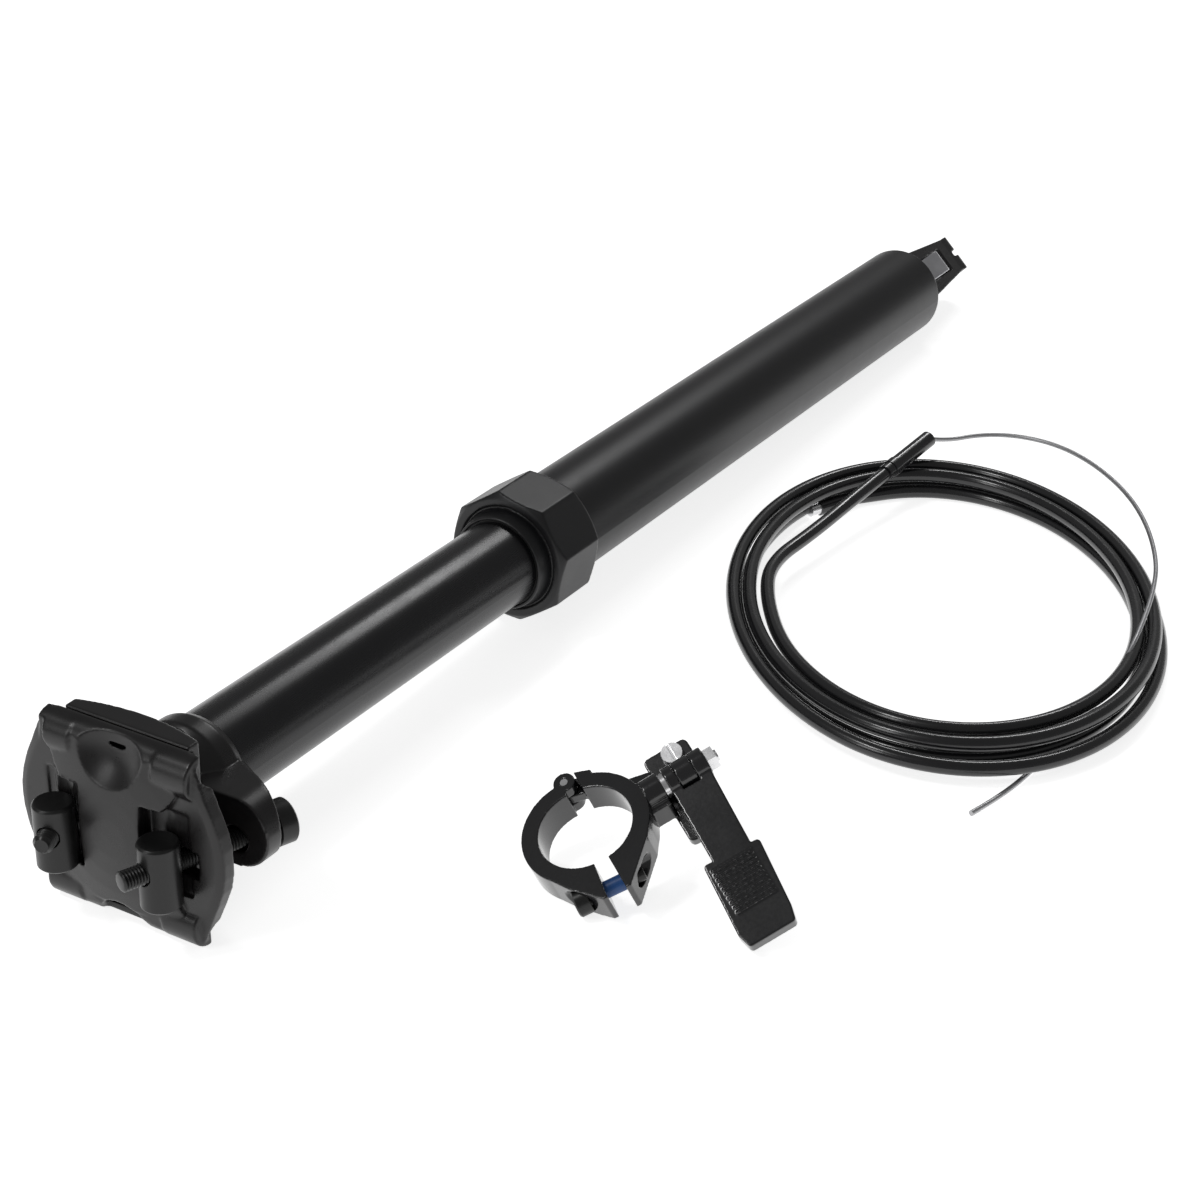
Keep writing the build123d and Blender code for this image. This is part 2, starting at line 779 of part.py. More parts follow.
# Lower cradle: a convex boss in the head's seat and a plate with half grooves for the rails
cradle_top = rail_station - clamp_half_gap
cradle_base = cradle_top - cradle_plate_thickness
with BuildPart() as lower_cradle:
    with BuildSketch(POST.offset(cradle_base)) as cradle_plan:
        with BuildLine():
            Polyline(
                (clamp_corner_reach, clamp_half_width),
                (clamp_corner_reach, cradle_waist_width),
                (cradle_waist_reach, cradle_waist_width),
                (cradle_waist_reach, -cradle_waist_width),
                (clamp_corner_reach, -cradle_waist_width),
                (clamp_corner_reach, -clamp_half_width),
                (-clamp_corner_reach, -clamp_half_width),
                (-clamp_corner_reach, -cradle_waist_width),
                (-cradle_waist_reach, -cradle_waist_width),
                (-cradle_waist_reach, cradle_waist_width),
                (-clamp_corner_reach, cradle_waist_width),
                (-clamp_corner_reach, clamp_half_width),
                close=True,
            )
        make_face()
    extrude(cradle_plan.sketch, amount=cradle_plate_thickness)
    plate_base = lower_cradle.faces().sort_by(POST_AXIS)[0]
    side_axis = Axis((0, 0, 0), POST.y_dir)
    base_edges = plate_base.edges().sort_by(side_axis)
    fillet([base_edges[0], base_edges[-1]], radius=cradle_skirt_round)
    with BuildSketch(POST_SIDE) as boss_outline:
        with Locations((0, cradle_centre)):
            Circle(cradle_radius - running_fit)
        with Locations((0, cradle_base + cradle_radius + overrun)):
            Rectangle(cradle_radius * 2, cradle_radius * 2, mode=Mode.SUBTRACT)
    extrude(boss_outline.sketch, amount=ear_half_width - cradle_boss_gap, both=True)
    for side in (1, -1):
        disc(POST_FRONT, (rail_spread * side, rail_station), rail_radius, clamp_half_length,
             Mode.SUBTRACT, both=True)
lower_cradle.part.label = "lower_cradle"
export_step(lower_cradle.part, "parts/lower_cradle.step")

# Upper clamp: a domed plate with four rail ridges, side scoops and two nut pockets
clamp_base = rail_station + clamp_half_gap
with BuildPart() as upper_clamp:
    with BuildSketch(POST.offset(clamp_base)) as clamp_plan:
        with BuildLine():
            Polyline(
                (clamp_half_length, 0),
                (clamp_half_length - overrun, clamp_shoulder_width),
                (clamp_corner_reach + overrun, clamp_bay_width),
                (clamp_corner_reach, clamp_half_width),
                (-clamp_corner_reach, clamp_half_width),
                (-clamp_corner_reach - overrun, clamp_bay_width),
                (-clamp_half_length + overrun, clamp_shoulder_width),
                (-clamp_half_length, 0),
                (-clamp_half_length + overrun, -clamp_shoulder_width),
                (-clamp_corner_reach - overrun, -clamp_bay_width),
                (-clamp_corner_reach, -clamp_half_width),
                (clamp_corner_reach, -clamp_half_width),
                (clamp_corner_reach + overrun, -clamp_bay_width),
                (clamp_half_length - overrun, -clamp_shoulder_width),
                close=True,
            )
        make_face()
        fillet(clamp_plan.vertices(), radius=clamp_corner_round)
    extrude(clamp_plan.sketch, amount=clamp_crown - clamp_base + overrun)
    dome_centre = clamp_crown - clamp_dome_radius
    with BuildSketch(POST_SIDE) as dome_outline:
        with Locations((0, dome_centre)):
            Circle(clamp_dome_radius)
        block_half = clamp_dome_radius + overrun
        with Locations((-block_half, dome_centre)):
            Rectangle(block_half * 2, block_half * 2, mode=Mode.SUBTRACT)
    revolve(dome_outline.sketch, axis=POST_AXIS, mode=Mode.INTERSECT)
    for side in (1, -1):
        with BuildSketch(POST_FRONT) as ridge_outline:
            with Locations((rail_spread * side, rail_station)):
                Circle(rail_radius + clamp_ridge_wall)
            with Locations((rail_spread * side, clamp_base - clamp_ridge_wall * 2)):
                Rectangle(clamp_half_width, clamp_ridge_wall * 4, mode=Mode.SUBTRACT)
            with Locations(((clamp_half_width + clamp_bay_width) * side, clamp_crown)):
                Rectangle(clamp_bay_width * 2, clamp_half_width * 2, mode=Mode.SUBTRACT)
        extrude(ridge_outline.sketch, amount=clamp_corner_reach, both=True)
    for side in (1, -1):
        disc(POST_FRONT, (rail_spread * side, rail_station), rail_radius, clamp_half_length,
             Mode.SUBTRACT, both=True)
        disc(POST.offset(clamp_base - overrun), (0, scoop_centre * side), scoop_radius,
             clamp_crown - clamp_base + overrun * 2, Mode.SUBTRACT)
        block(POST_SIDE, (ridge_start * side, pocket_floor), (pocket_reach * side, clamp_crown + overrun),
              pocket_half_width, Mode.SUBTRACT, both=True)
        disc(POST_SIDE, (nut_offset * side, nut_station), nut_radius + running_fit, pocket_half_width,
             Mode.SUBTRACT, both=True)
        block(POST_SIDE, (bolt_slot_inner * side, clamp_base - overrun),
              (pocket_reach * side, clamp_crown + overrun), bolt_slot_half_width, Mode.SUBTRACT, both=True)
upper_clamp.part.label = "upper_clamp"
export_step(upper_clamp.part, "parts/upper_clamp.step")


def bolt_solid(side):
    """Socket-head clamp bolt on its plane, its head rounded for the ear's seat, in the open part."""
    plane = bolt_plane(side)
    head_end = plane.offset(-bolt_grip - bolt_head_length)
    disc(head_end, (0, 0), bolt_head_radius, bolt_head_length)
    disc(bolt_seat_plane(side), (0, 0), bolt_seat_radius, bolt_head_radius + overrun,
         Mode.INTERSECT, both=True)
    disc(plane.offset(-bolt_grip - bolt_radius), (0, 0), bolt_radius, bolt_radius + bolt_grip + bolt_tail)
    with BuildSketch(head_end) as hexagon:
        RegularPolygon(bolt_socket_radius, 6)
    extrude(hexagon.sketch, amount=bolt_socket_depth, mode=Mode.SUBTRACT)


def nut_solid(side):
    """Barrel nut lying across the post, drilled for its bolt, in the open part."""
    nut_side = Plane(origin=bolt_plane(side).origin, x_dir=POST.x_dir, z_dir=-POST.y_dir)
    disc(nut_side, (0, 0), nut_radius, nut_length / 2, both=True)
    disc(bolt_plane(side), (0, 0), bolt_radius + nut_bore_clearance, nut_radius * 2, Mode.SUBTRACT, both=True)


# Clamp bolts: heads up against the ears, tails through the barrel nuts
with BuildPart() as front_bolt:
    bolt_solid(-1)
    bolt_end = front_bolt.faces().sort_by(Axis((0, 0, 0), bolt_plane(-1).z_dir))[-1]
    chamfer(bolt_end.edges(), length=bolt_tip_chamfer)
front_bolt.part.label = "front_bolt"
export_step(front_bolt.part, "parts/front_bolt.step")

with BuildPart() as rear_bolt:
    bolt_solid(1)
    bolt_end = rear_bolt.faces().sort_by(Axis((0, 0, 0), bolt_plane(1).z_dir))[-1]
    chamfer(bolt_end.edges(), length=bolt_tip_chamfer)
rear_bolt.part.label = "rear_bolt"
export_step(rear_bolt.part, "parts/rear_bolt.step")

# Barrel nuts in the upper clamp's pockets
with BuildPart() as front_nut:
    nut_solid(-1)
front_nut.part.label = "front_nut"
export_step(front_nut.part, "parts/front_nut.step")

with BuildPart() as rear_nut:
    nut_solid(1)
rear_nut.part.label = "rear_nut"
export_step(rear_nut.part, "parts/rear_nut.step")


# Planes of the remote: z along its ring, x towards the lever, y towards the hinge
REM = Plane(
    origin=(remote_x, remote_y, remote_height - floor_drop),
    x_dir=ring_side,
    z_dir=ring_axis,
)
opening = math.radians(-strap_opening)
strap_x = REM.x_dir * math.cos(opening) + REM.y_dir * math.sin(opening)
hinge_reach = REM.x_dir * hinge_offset + REM.y_dir * ring_radius
strap_y = REM.y_dir * math.cos(opening) - REM.x_dir * math.sin(opening)
strap_shift = hinge_reach - strap_x * hinge_offset - strap_y * ring_radius
STRAP = Plane(origin=REM.origin + strap_shift, x_dir=strap_x, z_dir=REM.z_dir)
droop = math.radians(lever_droop)
lever_up = REM.z_dir * math.cos(droop) - REM.y_dir * math.sin(droop)
lever_centre = REM.from_local_coords(Vector(0, knuckle_height, -knuckle_sink))
LEV = Plane(origin=lever_centre, x_dir=REM.x_dir, z_dir=lever_up)
LEV_SIDE = Plane(origin=lever_centre, x_dir=LEV.y_dir, z_dir=LEV.x_dir)

# Where the knuckles, washers and nut follow each other along the lever's pivot
washer_end = boss_end + washer_thickness * 2
near_knuckle = washer_end + knuckle_play
middle_knuckle = near_knuckle + outer_knuckle_length + knuckle_play
far_knuckle = middle_knuckle + middle_knuckle_length + knuckle_play
nut_start = far_knuckle + far_knuckle_length + knuckle_play
nut_end = nut_start + remote_nut_thickness
pivot_start = boss_start + washer_thickness * 2
plate_top = -knuckle_radius - plate_gap
tongue_top = -(ring_width - tongue_thickness) / 2
wire_line = middle_knuckle + middle_knuckle_length / 2


def ring_half(plane, side):
    """Half of the clamp ring, on the side +1 or -1 of its parting, in the open part."""
    with BuildSketch(plane) as half_ring:
        Circle(ring_radius)
        Circle(bar_radius + bar_fit, mode=Mode.SUBTRACT)
        with Locations(((lug_half_gap - ring_radius) * side, 0)):
            Rectangle(ring_radius * 2, ring_radius * 2 + overrun, mode=Mode.SUBTRACT)
    extrude(half_ring.sketch, amount=-ring_width)


def knuckle(start, length, radius, mode=Mode.ADD):
    """Round piece along the lever's pivot, in the open part."""
    disc(LEV_SIDE.offset(start), (0, 0), radius, length, mode)


# Remote body: half ring, lug, neck, bracket plate with the middle knuckle and the cable stop
with BuildPart() as remote_body:
    ring_half(REM, 1)
    block(REM.offset(overrun), (-lug_half_gap, hinge_boss_radius), (ring_end_gap, ring_radius + overrun),
          -ring_width - overrun * 2, Mode.SUBTRACT)
    prism([
        (ring_end_gap, bar_radius),
        (ring_end_gap, ring_radius + body_pad_height),
        (ring_end_gap + body_pad_length, ring_radius - body_pad_height / 2),
        (ring_end_gap + body_pad_length, bar_radius),
    ], REM, -ring_width)
    with BuildSketch(REM.offset(tongue_top)) as tongue:
        with Locations((hinge_offset, ring_radius)):
            Circle(hinge_boss_radius - tongue_gap)
        with Locations((ring_end_gap + body_pad_length / 2, bar_radius + hinge_boss_radius)):
            Circle(hinge_boss_radius - tongue_gap)
        make_hull()
    extrude(tongue.sketch, amount=-tongue_thickness)
    prism([
        (lug_half_gap, -bar_radius),
        (lug_half_gap, -lug_tip_drop),
        (lug_half_gap + lug_tip_width, -lug_tip_drop),
        (body_lug_reach, -body_lug_drop),
        (lug_root_reach, -lug_root_drop),
    ], REM, -ring_width)
    with BuildSketch(REM.offset(-neck_recess)) as neck:
        with BuildLine():
            Polyline(
                (neck_start, neck_top),
                (neck_end, neck_end_top),
                (neck_end, -neck_bottom),
                (neck_start, -neck_bottom),
                close=True,
            )
        make_face()
    extrude(neck.sketch, amount=neck_recess - ring_width)
    knuckle(boss_start, boss_end - boss_start, knuckle_radius)
    with BuildSketch(LEV.offset(plate_top)) as bracket_plate:
        with Locations(((plate_start + plate_end) / 2, (plate_far - plate_near) / 2)):
            RectangleRounded(plate_end - plate_start, plate_far + plate_near, plate_corner_round)
        fork_end = plate_near + overrun
        with Locations((wire_line, -(fork_slot_start + fork_end) / 2)):
            Rectangle(fork_slot_width, fork_end - fork_slot_start, mode=Mode.SUBTRACT)
    extrude(bracket_plate.sketch, amount=-plate_thickness)
    knuckle(middle_knuckle, middle_knuckle_length, knuckle_radius)
    block(LEV_SIDE.offset(middle_knuckle), (-knuckle_radius, plate_top), (knuckle_radius, 0),
          middle_knuckle_length)
    stop_plane = Plane(
        origin=LEV.from_local_coords(Vector(wire_line, stop_start, -anchor_drop)),
        x_dir=LEV.x_dir,
        z_dir=LEV.y_dir,
    )
    disc(stop_plane, (0, 0), stop_radius, plate_far - stop_start)
    disc(REM, (0, 0), bar_radius + bar_fit, -ring_width, Mode.SUBTRACT)
    disc(REM, (hinge_offset, ring_radius), hinge_pin_radius + seat_fit, -ring_width, Mode.SUBTRACT)
    disc(stop_plane.offset(overrun), (0, 0), cable_socket_radius, plate_far - stop_start, Mode.SUBTRACT)
    disc(stop_plane, (0, 0), cable_hole_radius, overrun, Mode.SUBTRACT)
    knuckle(pivot_start, nut_end - pivot_start, remote_bolt_radius + seat_fit, Mode.SUBTRACT)
    screw_plane = LEV.offset(plate_top - plate_thickness / 2)
    disc(screw_plane, (wire_line, bracket_screw_back), bracket_screw_radius + seat_fit, plate_thickness,
         Mode.SUBTRACT)
    lug_side = Plane(
        origin=REM.from_local_coords(Vector(0, -clamp_bolt_drop - clamp_slot_clearance, -ring_width / 2)),
        x_dir=REM.y_dir,
        z_dir=REM.x_dir,
    )
    with BuildSketch(lug_side) as bolt_way:
        way_width = (clamp_bolt_radius + clamp_slot_clearance) * 2
        SlotOverall(way_width + clamp_slot_travel, way_width)
    extrude(bolt_way.sketch, amount=body_lug_reach, mode=Mode.SUBTRACT)
remote_body.part.label = "remote_body"
export_step(remote_body.part, "parts/remote_body.step")

# Hinge pin of the strap
with BuildPart() as hinge_pin:
    disc(REM.offset(-running_fit), (hinge_offset, ring_radius), hinge_pin_radius, running_fit * 2 - ring_width)
hinge_pin.part.label = "hinge_pin"
export_step(hinge_pin.part, "parts/hinge_pin.step")

# Clamp strap: the other half ring, two hinge ears and a lug with a counterbore, lying a little open
with BuildPart() as clamp_strap:
    ring_half(STRAP, -1)
    disc(STRAP, (hinge_offset, ring_radius), hinge_boss_radius, -ring_width)
    prism([
        (-lug_half_gap, -bar_radius),
        (-lug_half_gap, -lug_tip_drop),
        (-lug_half_gap - lug_tip_width, -lug_tip_drop),
        (-strap_lug_reach, -strap_lug_drop),
        (-lug_root_reach, -lug_root_drop),
    ], STRAP, -ring_width)
    disc(STRAP, (0, 0), bar_radius + bar_fit, -ring_width, Mode.SUBTRACT)
    disc(STRAP.offset(tongue_top + tongue_gap), (hinge_offset, ring_radius), hinge_boss_radius + tongue_gap,
         -tongue_thickness - tongue_gap * 2, Mode.SUBTRACT)
    disc(STRAP, (hinge_offset, ring_radius), hinge_pin_radius + running_fit, -ring_width, Mode.SUBTRACT)
    strap_side = Plane(
        origin=STRAP.from_local_coords(Vector(0, -clamp_bolt_drop, -ring_width / 2)),
        x_dir=STRAP.y_dir,
        z_dir=STRAP.x_dir,
    )
    disc(strap_side.offset(-clamp_bolt_seat), (0, 0), clamp_bolt_radius + seat_fit, clamp_bolt_seat,
         Mode.SUBTRACT)
    disc(strap_side.offset(-clamp_bolt_seat), (0, 0), clamp_bolt_head_radius + tongue_gap, -ring_radius,
         Mode.SUBTRACT)
clamp_strap.part.label = "clamp_strap"
export_step(clamp_strap.part, "parts/clamp_strap.step")

# Clamp bolt in the strap's counterbore
with BuildPart() as clamp_bolt:
    head_plane = strap_side.offset(-clamp_bolt_seat - clamp_bolt_head_length)
    disc(head_plane, (0, 0), clamp_bolt_head_radius, clamp_bolt_head_length)
    disc(strap_side.offset(-clamp_bolt_seat), (0, 0), clamp_bolt_radius, clamp_bolt_seat + clamp_bolt_reach)
    bolt_end = clamp_bolt.faces().sort_by(Axis((0, 0, 0), STRAP.x_dir))[-1]
    chamfer(bolt_end.edges(), length=bolt_tip_chamfer)
    with BuildSketch(head_plane) as hexagon:
        RegularPolygon(clamp_bolt_socket_radius, 6)
    extrude(hexagon.sketch, amount=clamp_bolt_socket_depth, mode=Mode.SUBTRACT)
clamp_bolt.part.label = "clamp_bolt"
export_step(clamp_bolt.part, "parts/clamp_bolt.step")

# Lever pivot: a bolt through the knuckles, two washers and a hexagonal nut
with BuildPart() as pivot_bolt:
    knuckle(pivot_start, nut_end + washer_thickness - pivot_start, remote_bolt_radius)
pivot_bolt.part.label = "pivot_bolt"
export_step(pivot_bolt.part, "parts/pivot_bolt.step")

with BuildPart() as pivot_nut:
    with BuildSketch(LEV_SIDE.offset(nut_start)) as hexagon:
        RegularPolygon(remote_nut_flats / 2, 6, major_radius=False)
        Circle(remote_bolt_radius + seat_fit, mode=Mode.SUBTRACT)
    extrude(hexagon.sketch, amount=remote_nut_thickness)
pivot_nut.part.label = "pivot_nut"
export_step(pivot_nut.part, "parts/pivot_nut.step")

with BuildPart() as inner_washer:
    knuckle(boss_end, washer_thickness, washer_radius)
    knuckle(boss_end, washer_thickness, remote_bolt_radius + seat_fit, Mode.SUBTRACT)
inner_washer.part.label = "inner_washer"
export_step(inner_washer.part, "parts/inner_washer.step")

with BuildPart() as outer_washer:
    knuckle(boss_end + washer_thickness, washer_thickness, washer_radius)
    knuckle(boss_end + washer_thickness, washer_thickness, remote_bolt_radius + seat_fit, Mode.SUBTRACT)
outer_washer.part.label = "outer_washer"
export_step(outer_washer.part, "parts/outer_washer.step")

# Bracket screw with a slotted round head
with BuildPart() as bracket_screw:
    disc(screw_plane, (wire_line, bracket_screw_back), bracket_screw_radius, plate_thickness / 2)
    disc(LEV.offset(plate_top), (wire_line, bracket_screw_back), bracket_screw_head_radius,
         bracket_screw_head_height)
    slot_plane = LEV.offset(plate_top + bracket_screw_head_height)
    half_slot = bracket_screw_slot / 2
    block(slot_plane, (wire_line - half_slot, 0), (wire_line + half_slot, plate_far + overrun),
          -bracket_screw_slot, Mode.SUBTRACT)
bracket_screw.part.label = "bracket_screw"
export_step(bracket_screw.part, "parts/bracket_screw.step")

# Remote lever: two knuckles, an arm, a ribbed thumb paddle and a lug for the wire anchor
with BuildPart() as remote_lever:
    with BuildSketch(LEV.offset(-arm_bottom)) as arm_plan:
        with BuildLine():
            Polyline(
                (arm_root_near, -arm_start),
                (arm_root_far, -arm_start),
                (arm_end_far, -arm_length - paddle_round),
                (arm_end_near, -arm_length - paddle_round),
                close=True,
            )
        make_face()
    extrude(arm_plan.sketch, amount=arm_top + arm_bottom)
    knuckle(near_knuckle, outer_knuckle_length, knuckle_radius)
    knuckle(far_knuckle, far_knuckle_length, knuckle_radius)
    with BuildSketch(LEV.offset(-paddle_drop)) as paddle_plan:
        with BuildLine():
            Polyline(
                (paddle_near, -arm_length),
                (paddle_far, -arm_length - paddle_shoulder_round),
                (paddle_tip_far, -paddle_length + paddle_round),
                (paddle_tip_far - paddle_shoulder_round, -paddle_length),
                (paddle_tip_near + paddle_shoulder_round, -paddle_length),
                (paddle_tip_near, -paddle_length + paddle_round),
                close=True,
            )
        make_face()
        fillet(paddle_plan.vertices(), radius=paddle_shoulder_round)
    extrude(paddle_plan.sketch, amount=arm_top + paddle_drop)
    rib_near = paddle_near + rib_side_margin
    rib_far = paddle_tip_far - rib_side_margin
    for rib in range(rib_count):
        rib_back = arm_length + paddle_shoulder_round + rib_first + rib_pitch * rib
        block(LEV.offset(arm_top), (rib_near, -rib_back), (rib_far, -rib_back - rib_width), rib_height)
    anchor_side = LEV_SIDE.offset(wire_line)
    with BuildSketch(anchor_side) as lug_outline:
        with Locations((-anchor_back, -anchor_drop)):
            Circle(anchor_radius + anchor_wall)
        with Locations((-anchor_back, 0)):
            Rectangle((anchor_radius + anchor_wall) * 2, arm_bottom * 2)
        make_hull()
    extrude(lug_outline.sketch, amount=anchor_lug_thickness / 2, both=True)
    block(LEV_SIDE.offset(middle_knuckle - knuckle_play), (-knuckle_radius - plate_gap, -knuckle_radius),
          (knuckle_radius, knuckle_radius), middle_knuckle_length + knuckle_play * 2, Mode.SUBTRACT)
    knuckle(near_knuckle, nut_end - near_knuckle, remote_bolt_radius + running_fit, Mode.SUBTRACT)
    disc(anchor_side, (-anchor_back, -anchor_drop), anchor_radius + seat_fit, anchor_lug_thickness,
         Mode.SUBTRACT, both=True)
remote_lever.part.label = "remote_lever"
export_step(remote_lever.part, "parts/remote_lever.step")

# Wire anchor in the lever's lug, cross drilled for the wire
with BuildPart() as cable_anchor:
    disc(anchor_side, (-anchor_back, -anchor_drop), anchor_radius, anchor_length / 2, both=True)
    hole_plane = Plane(
        origin=LEV.from_local_coords(Vector(wire_line, -anchor_back - anchor_radius * 2, -anchor_drop)),
        x_dir=LEV.x_dir,
        z_dir=LEV.y_dir,
    )
    disc(hole_plane, (0, 0), cable_hole_radius, anchor_radius * 4, Mode.SUBTRACT)
cable_anchor.part.label = "cable_anchor"
export_step(cable_anchor.part, "parts/cable_anchor.step")


def above_floor(points):
    """Points of a cord, given with heights above the floor, in the part's own frame."""
    return [Vector(x, y, height - floor_drop) for x, y, height in points]


def coil_point(turn):
    """Point of the coil's centre line after some turns from its start."""
    turns_out = coil_turns * coil_out_share
    layers = coil_start_share + turns_out - abs(turn - turns_out)
    angle = coil_start_angle - turn * 360
    bearing = math.radians(angle)
    along = (coil_inner_reach + coil_reach_pitch * layers) * math.cos(bearing)
    across = (coil_inner_width + coil_width_pitch * layers) * math.sin(bearing)
    climb = min(max((turn - turns_out) * 2 + 1 / 2, 0), 1)
    height = coil_floor_gap + housing_radius + coil_layer_rise * (1 - math.cos(math.pi * climb)) / 2
    off_angle = (angle - coil_lift_angle + 180) % 360 - 180
    if abs(off_angle) < coil_lift_window:
        height += coil_lift * (1 + math.cos(math.pi * off_angle / coil_lift_window)) / 2
    centre_x, centre_y = coil_centre
    heading = math.radians(coil_heading)
    return Vector(
        centre_x + along * math.cos(heading) - across * math.sin(heading),
        centre_y + along * math.sin(heading) + across * math.cos(heading),
        height - floor_drop,
    )


def coil_heading_at(turn):
    """Unit direction of the coil's centre line."""
    return (coil_point(turn + coil_step_share) - coil_point(turn - coil_step_share)).normalized()


def biarc(start, start_way, end, end_way):
    """Two arcs that leave and arrive in the given directions, on the open line."""
    chord = end - start
    ways = start_way + end_way
    spread = 2 * (1 - start_way.dot(end_way))
    lean = chord.dot(ways)
    reach = (math.sqrt(lean * lean + spread * chord.dot(chord)) - lean) / spread
    start_leg = start + start_way * reach
    end_leg = end - end_way * reach
    middle = (start_leg + end_leg) / 2
    TangentArc(start, middle, tangent=start_way)
    TangentArc(middle, end, tangent=(end_leg - start_leg).normalized())


def least_gap(line, radius, step):
    """Least gap of a round cord to itself, from points along its line."""
    count = int(line.length / step)
    points = [line.position_at(index / count) for index in range(count + 1)]
    apart = int(radius * 20 / step)
    near = min(
        (first - second).length
        for index, first in enumerate(points)
        for second in points[index + apart:]
    )
    return near - radius * 2


def corner_radii(points):
    """Bend radius at each inner corner of a run of points."""
    radii = []
    for before, corner, after in zip(points, points[1:], points[2:]):
        arriving = corner - before
        leaving = after - corner
        half_turn = math.radians(arriving.get_angle(leaving)) / 2
        shorter = min(arriving.length, leaving.length)
        radii.append(shorter * cord_corner_share / math.tan(half_turn))
    return radii


# Coil of the housing: straight for one diameter at each end, biarcs of a quarter turn between
coil_turns = coil_loops + (coil_start_angle - coil_end_angle) / 360
first_knot = ((coil_start_angle - coil_knot_angle) % 90) / 360 + 1 / 4
knot_count = int((coil_turns - first_knot) * 4) + 1
knots = [0] + [first_knot + index / 4 for index in range(knot_count)]
lead_route = above_floor(lead_points)
lead_way = (lead_route[1] - lead_route[0]).normalized()
coil_ends = [(coil_point(knot), coil_heading_at(knot)) for knot in knots]
coil_ends.append((lead_route[0] - lead_way * housing_radius * 2, lead_way))
coil_start, coil_start_way = coil_ends[0]
coil_tip = coil_start - coil_start_way * housing_radius * 2
with BuildPart() as cable_housing:
    with BuildLine() as coil_route:
        Line(coil_tip, coil_start)
        for (start, start_way), (end, end_way) in zip(coil_ends, coil_ends[1:]):
            biarc(start, start_way, end, end_way)
        Line(coil_ends[-1][0], lead_route[0])
    coil_line = coil_route.wires()[0]
    with BuildSketch(Plane(origin=coil_tip, z_dir=coil_start_way)):
        Circle(housing_radius)
    sweep(path=coil_line)
print("coil length", round(coil_line.length), "least gap", round(least_gap(coil_line, housing_radius, gap_step), 2))
cable_housing.part.label = "cable_housing"
export_step(cable_housing.part, "parts/cable_housing.step")

# Free stretch of the housing up to its sleeve
lead_radii = corner_radii(lead_route)
print("lead radii", [round(radius) for radius in lead_radii])
with BuildPart() as housing_lead:
    with BuildLine() as lead_line:
        FilletPolyline(*lead_route, radius=lead_radii)
    with BuildSketch(Plane(origin=lead_route[0], z_dir=lead_way)):
        Circle(housing_radius)
    sweep(path=lead_line.wires()[0])
housing_lead.part.label = "housing_lead"
export_step(housing_lead.part, "parts/housing_lead.step")

# Sleeve at the end of the free stretch, with a stepped rear lip and a hole for the wire
sleeve_way = (lead_route[-1] - lead_route[-2]).normalized()
SLEEVE = Plane(origin=lead_route[-1], z_dir=sleeve_way)
with BuildPart() as housing_sleeve:
    disc(SLEEVE, (0, 0), sleeve_radius, sleeve_length)
    disc(SLEEVE.offset(sleeve_lip_length), (0, 0), sleeve_radius + sleeve_step, sleeve_lip_length)
    disc(SLEEVE.offset(sleeve_length - cable_socket_depth), (0, 0), cable_hole_radius, cable_socket_depth,
         Mode.SUBTRACT)
housing_sleeve.part.label = "housing_sleeve"
export_step(housing_sleeve.part, "parts/housing_sleeve.step")

# End cap and nipple at the hidden end of the coil
CAP = Plane(origin=coil_tip, z_dir=-coil_start_way)
with BuildPart() as housing_end_cap:
    disc(CAP, (0, 0), cap_radius, cap_length)
housing_end_cap.part.label = "housing_end_cap"
export_step(housing_end_cap.part, "parts/housing_end_cap.step")

with BuildPart() as wire_nipple:
    disc(CAP.offset(cap_length), (0, 0), nipple_radius, nipple_length)
wire_nipple.part.label = "wire_nipple"
export_step(wire_nipple.part, "parts/wire_nipple.step")

# Bare inner wire from the sleeve, over the coil, down inside it and out beneath its strands
wire_start = SLEEVE.offset(sleeve_length).origin
wire_route = [wire_start] + above_floor(wire_points)
wire_way = (wire_route[1] - wire_route[0]).normalized()
wire_radii = corner_radii(wire_route)
print("wire radii", [round(radius) for radius in wire_radii])
with BuildPart() as inner_wire:
    with BuildLine() as wire_line_route:
        FilletPolyline(*wire_route, radius=wire_radii)
    with BuildSketch(Plane(origin=wire_start, z_dir=wire_way)):
        Circle(wire_radius)
    sweep(path=wire_line_route.wires()[0])
inner_wire.part.label = "inner_wire"
export_step(inner_wire.part, "parts/inner_wire.step")

# Crimped bead on the wire's end
wire_end_way = (wire_route[-1] - wire_route[-2]).normalized()
with BuildPart() as wire_end_bead:
    disc(Plane(origin=wire_route[-1], z_dir=wire_end_way), (0, 0), bead_radius, bead_length)
wire_end_bead.part.label = "wire_end_bead"
export_step(wire_end_bead.part, "parts/wire_end_bead.step")
lowest = min(edge.bounding_box().min.Z for edge in (cable_housing.part, inner_wire.part, remote_body.part))
print("wire length", round(wire_line_route.wires()[0].length), "lowest above floor", round(lowest + floor_drop, 2))
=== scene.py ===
"""Looks of a dropper seatpost kit: post, handlebar remote and coiled cable on a pale floor.

Lengths are in metres. The camera and the cords come first, then finishes, pieces and lights.
"""

from __future__ import annotations

import json
import logging
import math
from dataclasses import dataclass
from enum import Enum

import bmesh
import bpy
from mathutils import Matrix, Vector

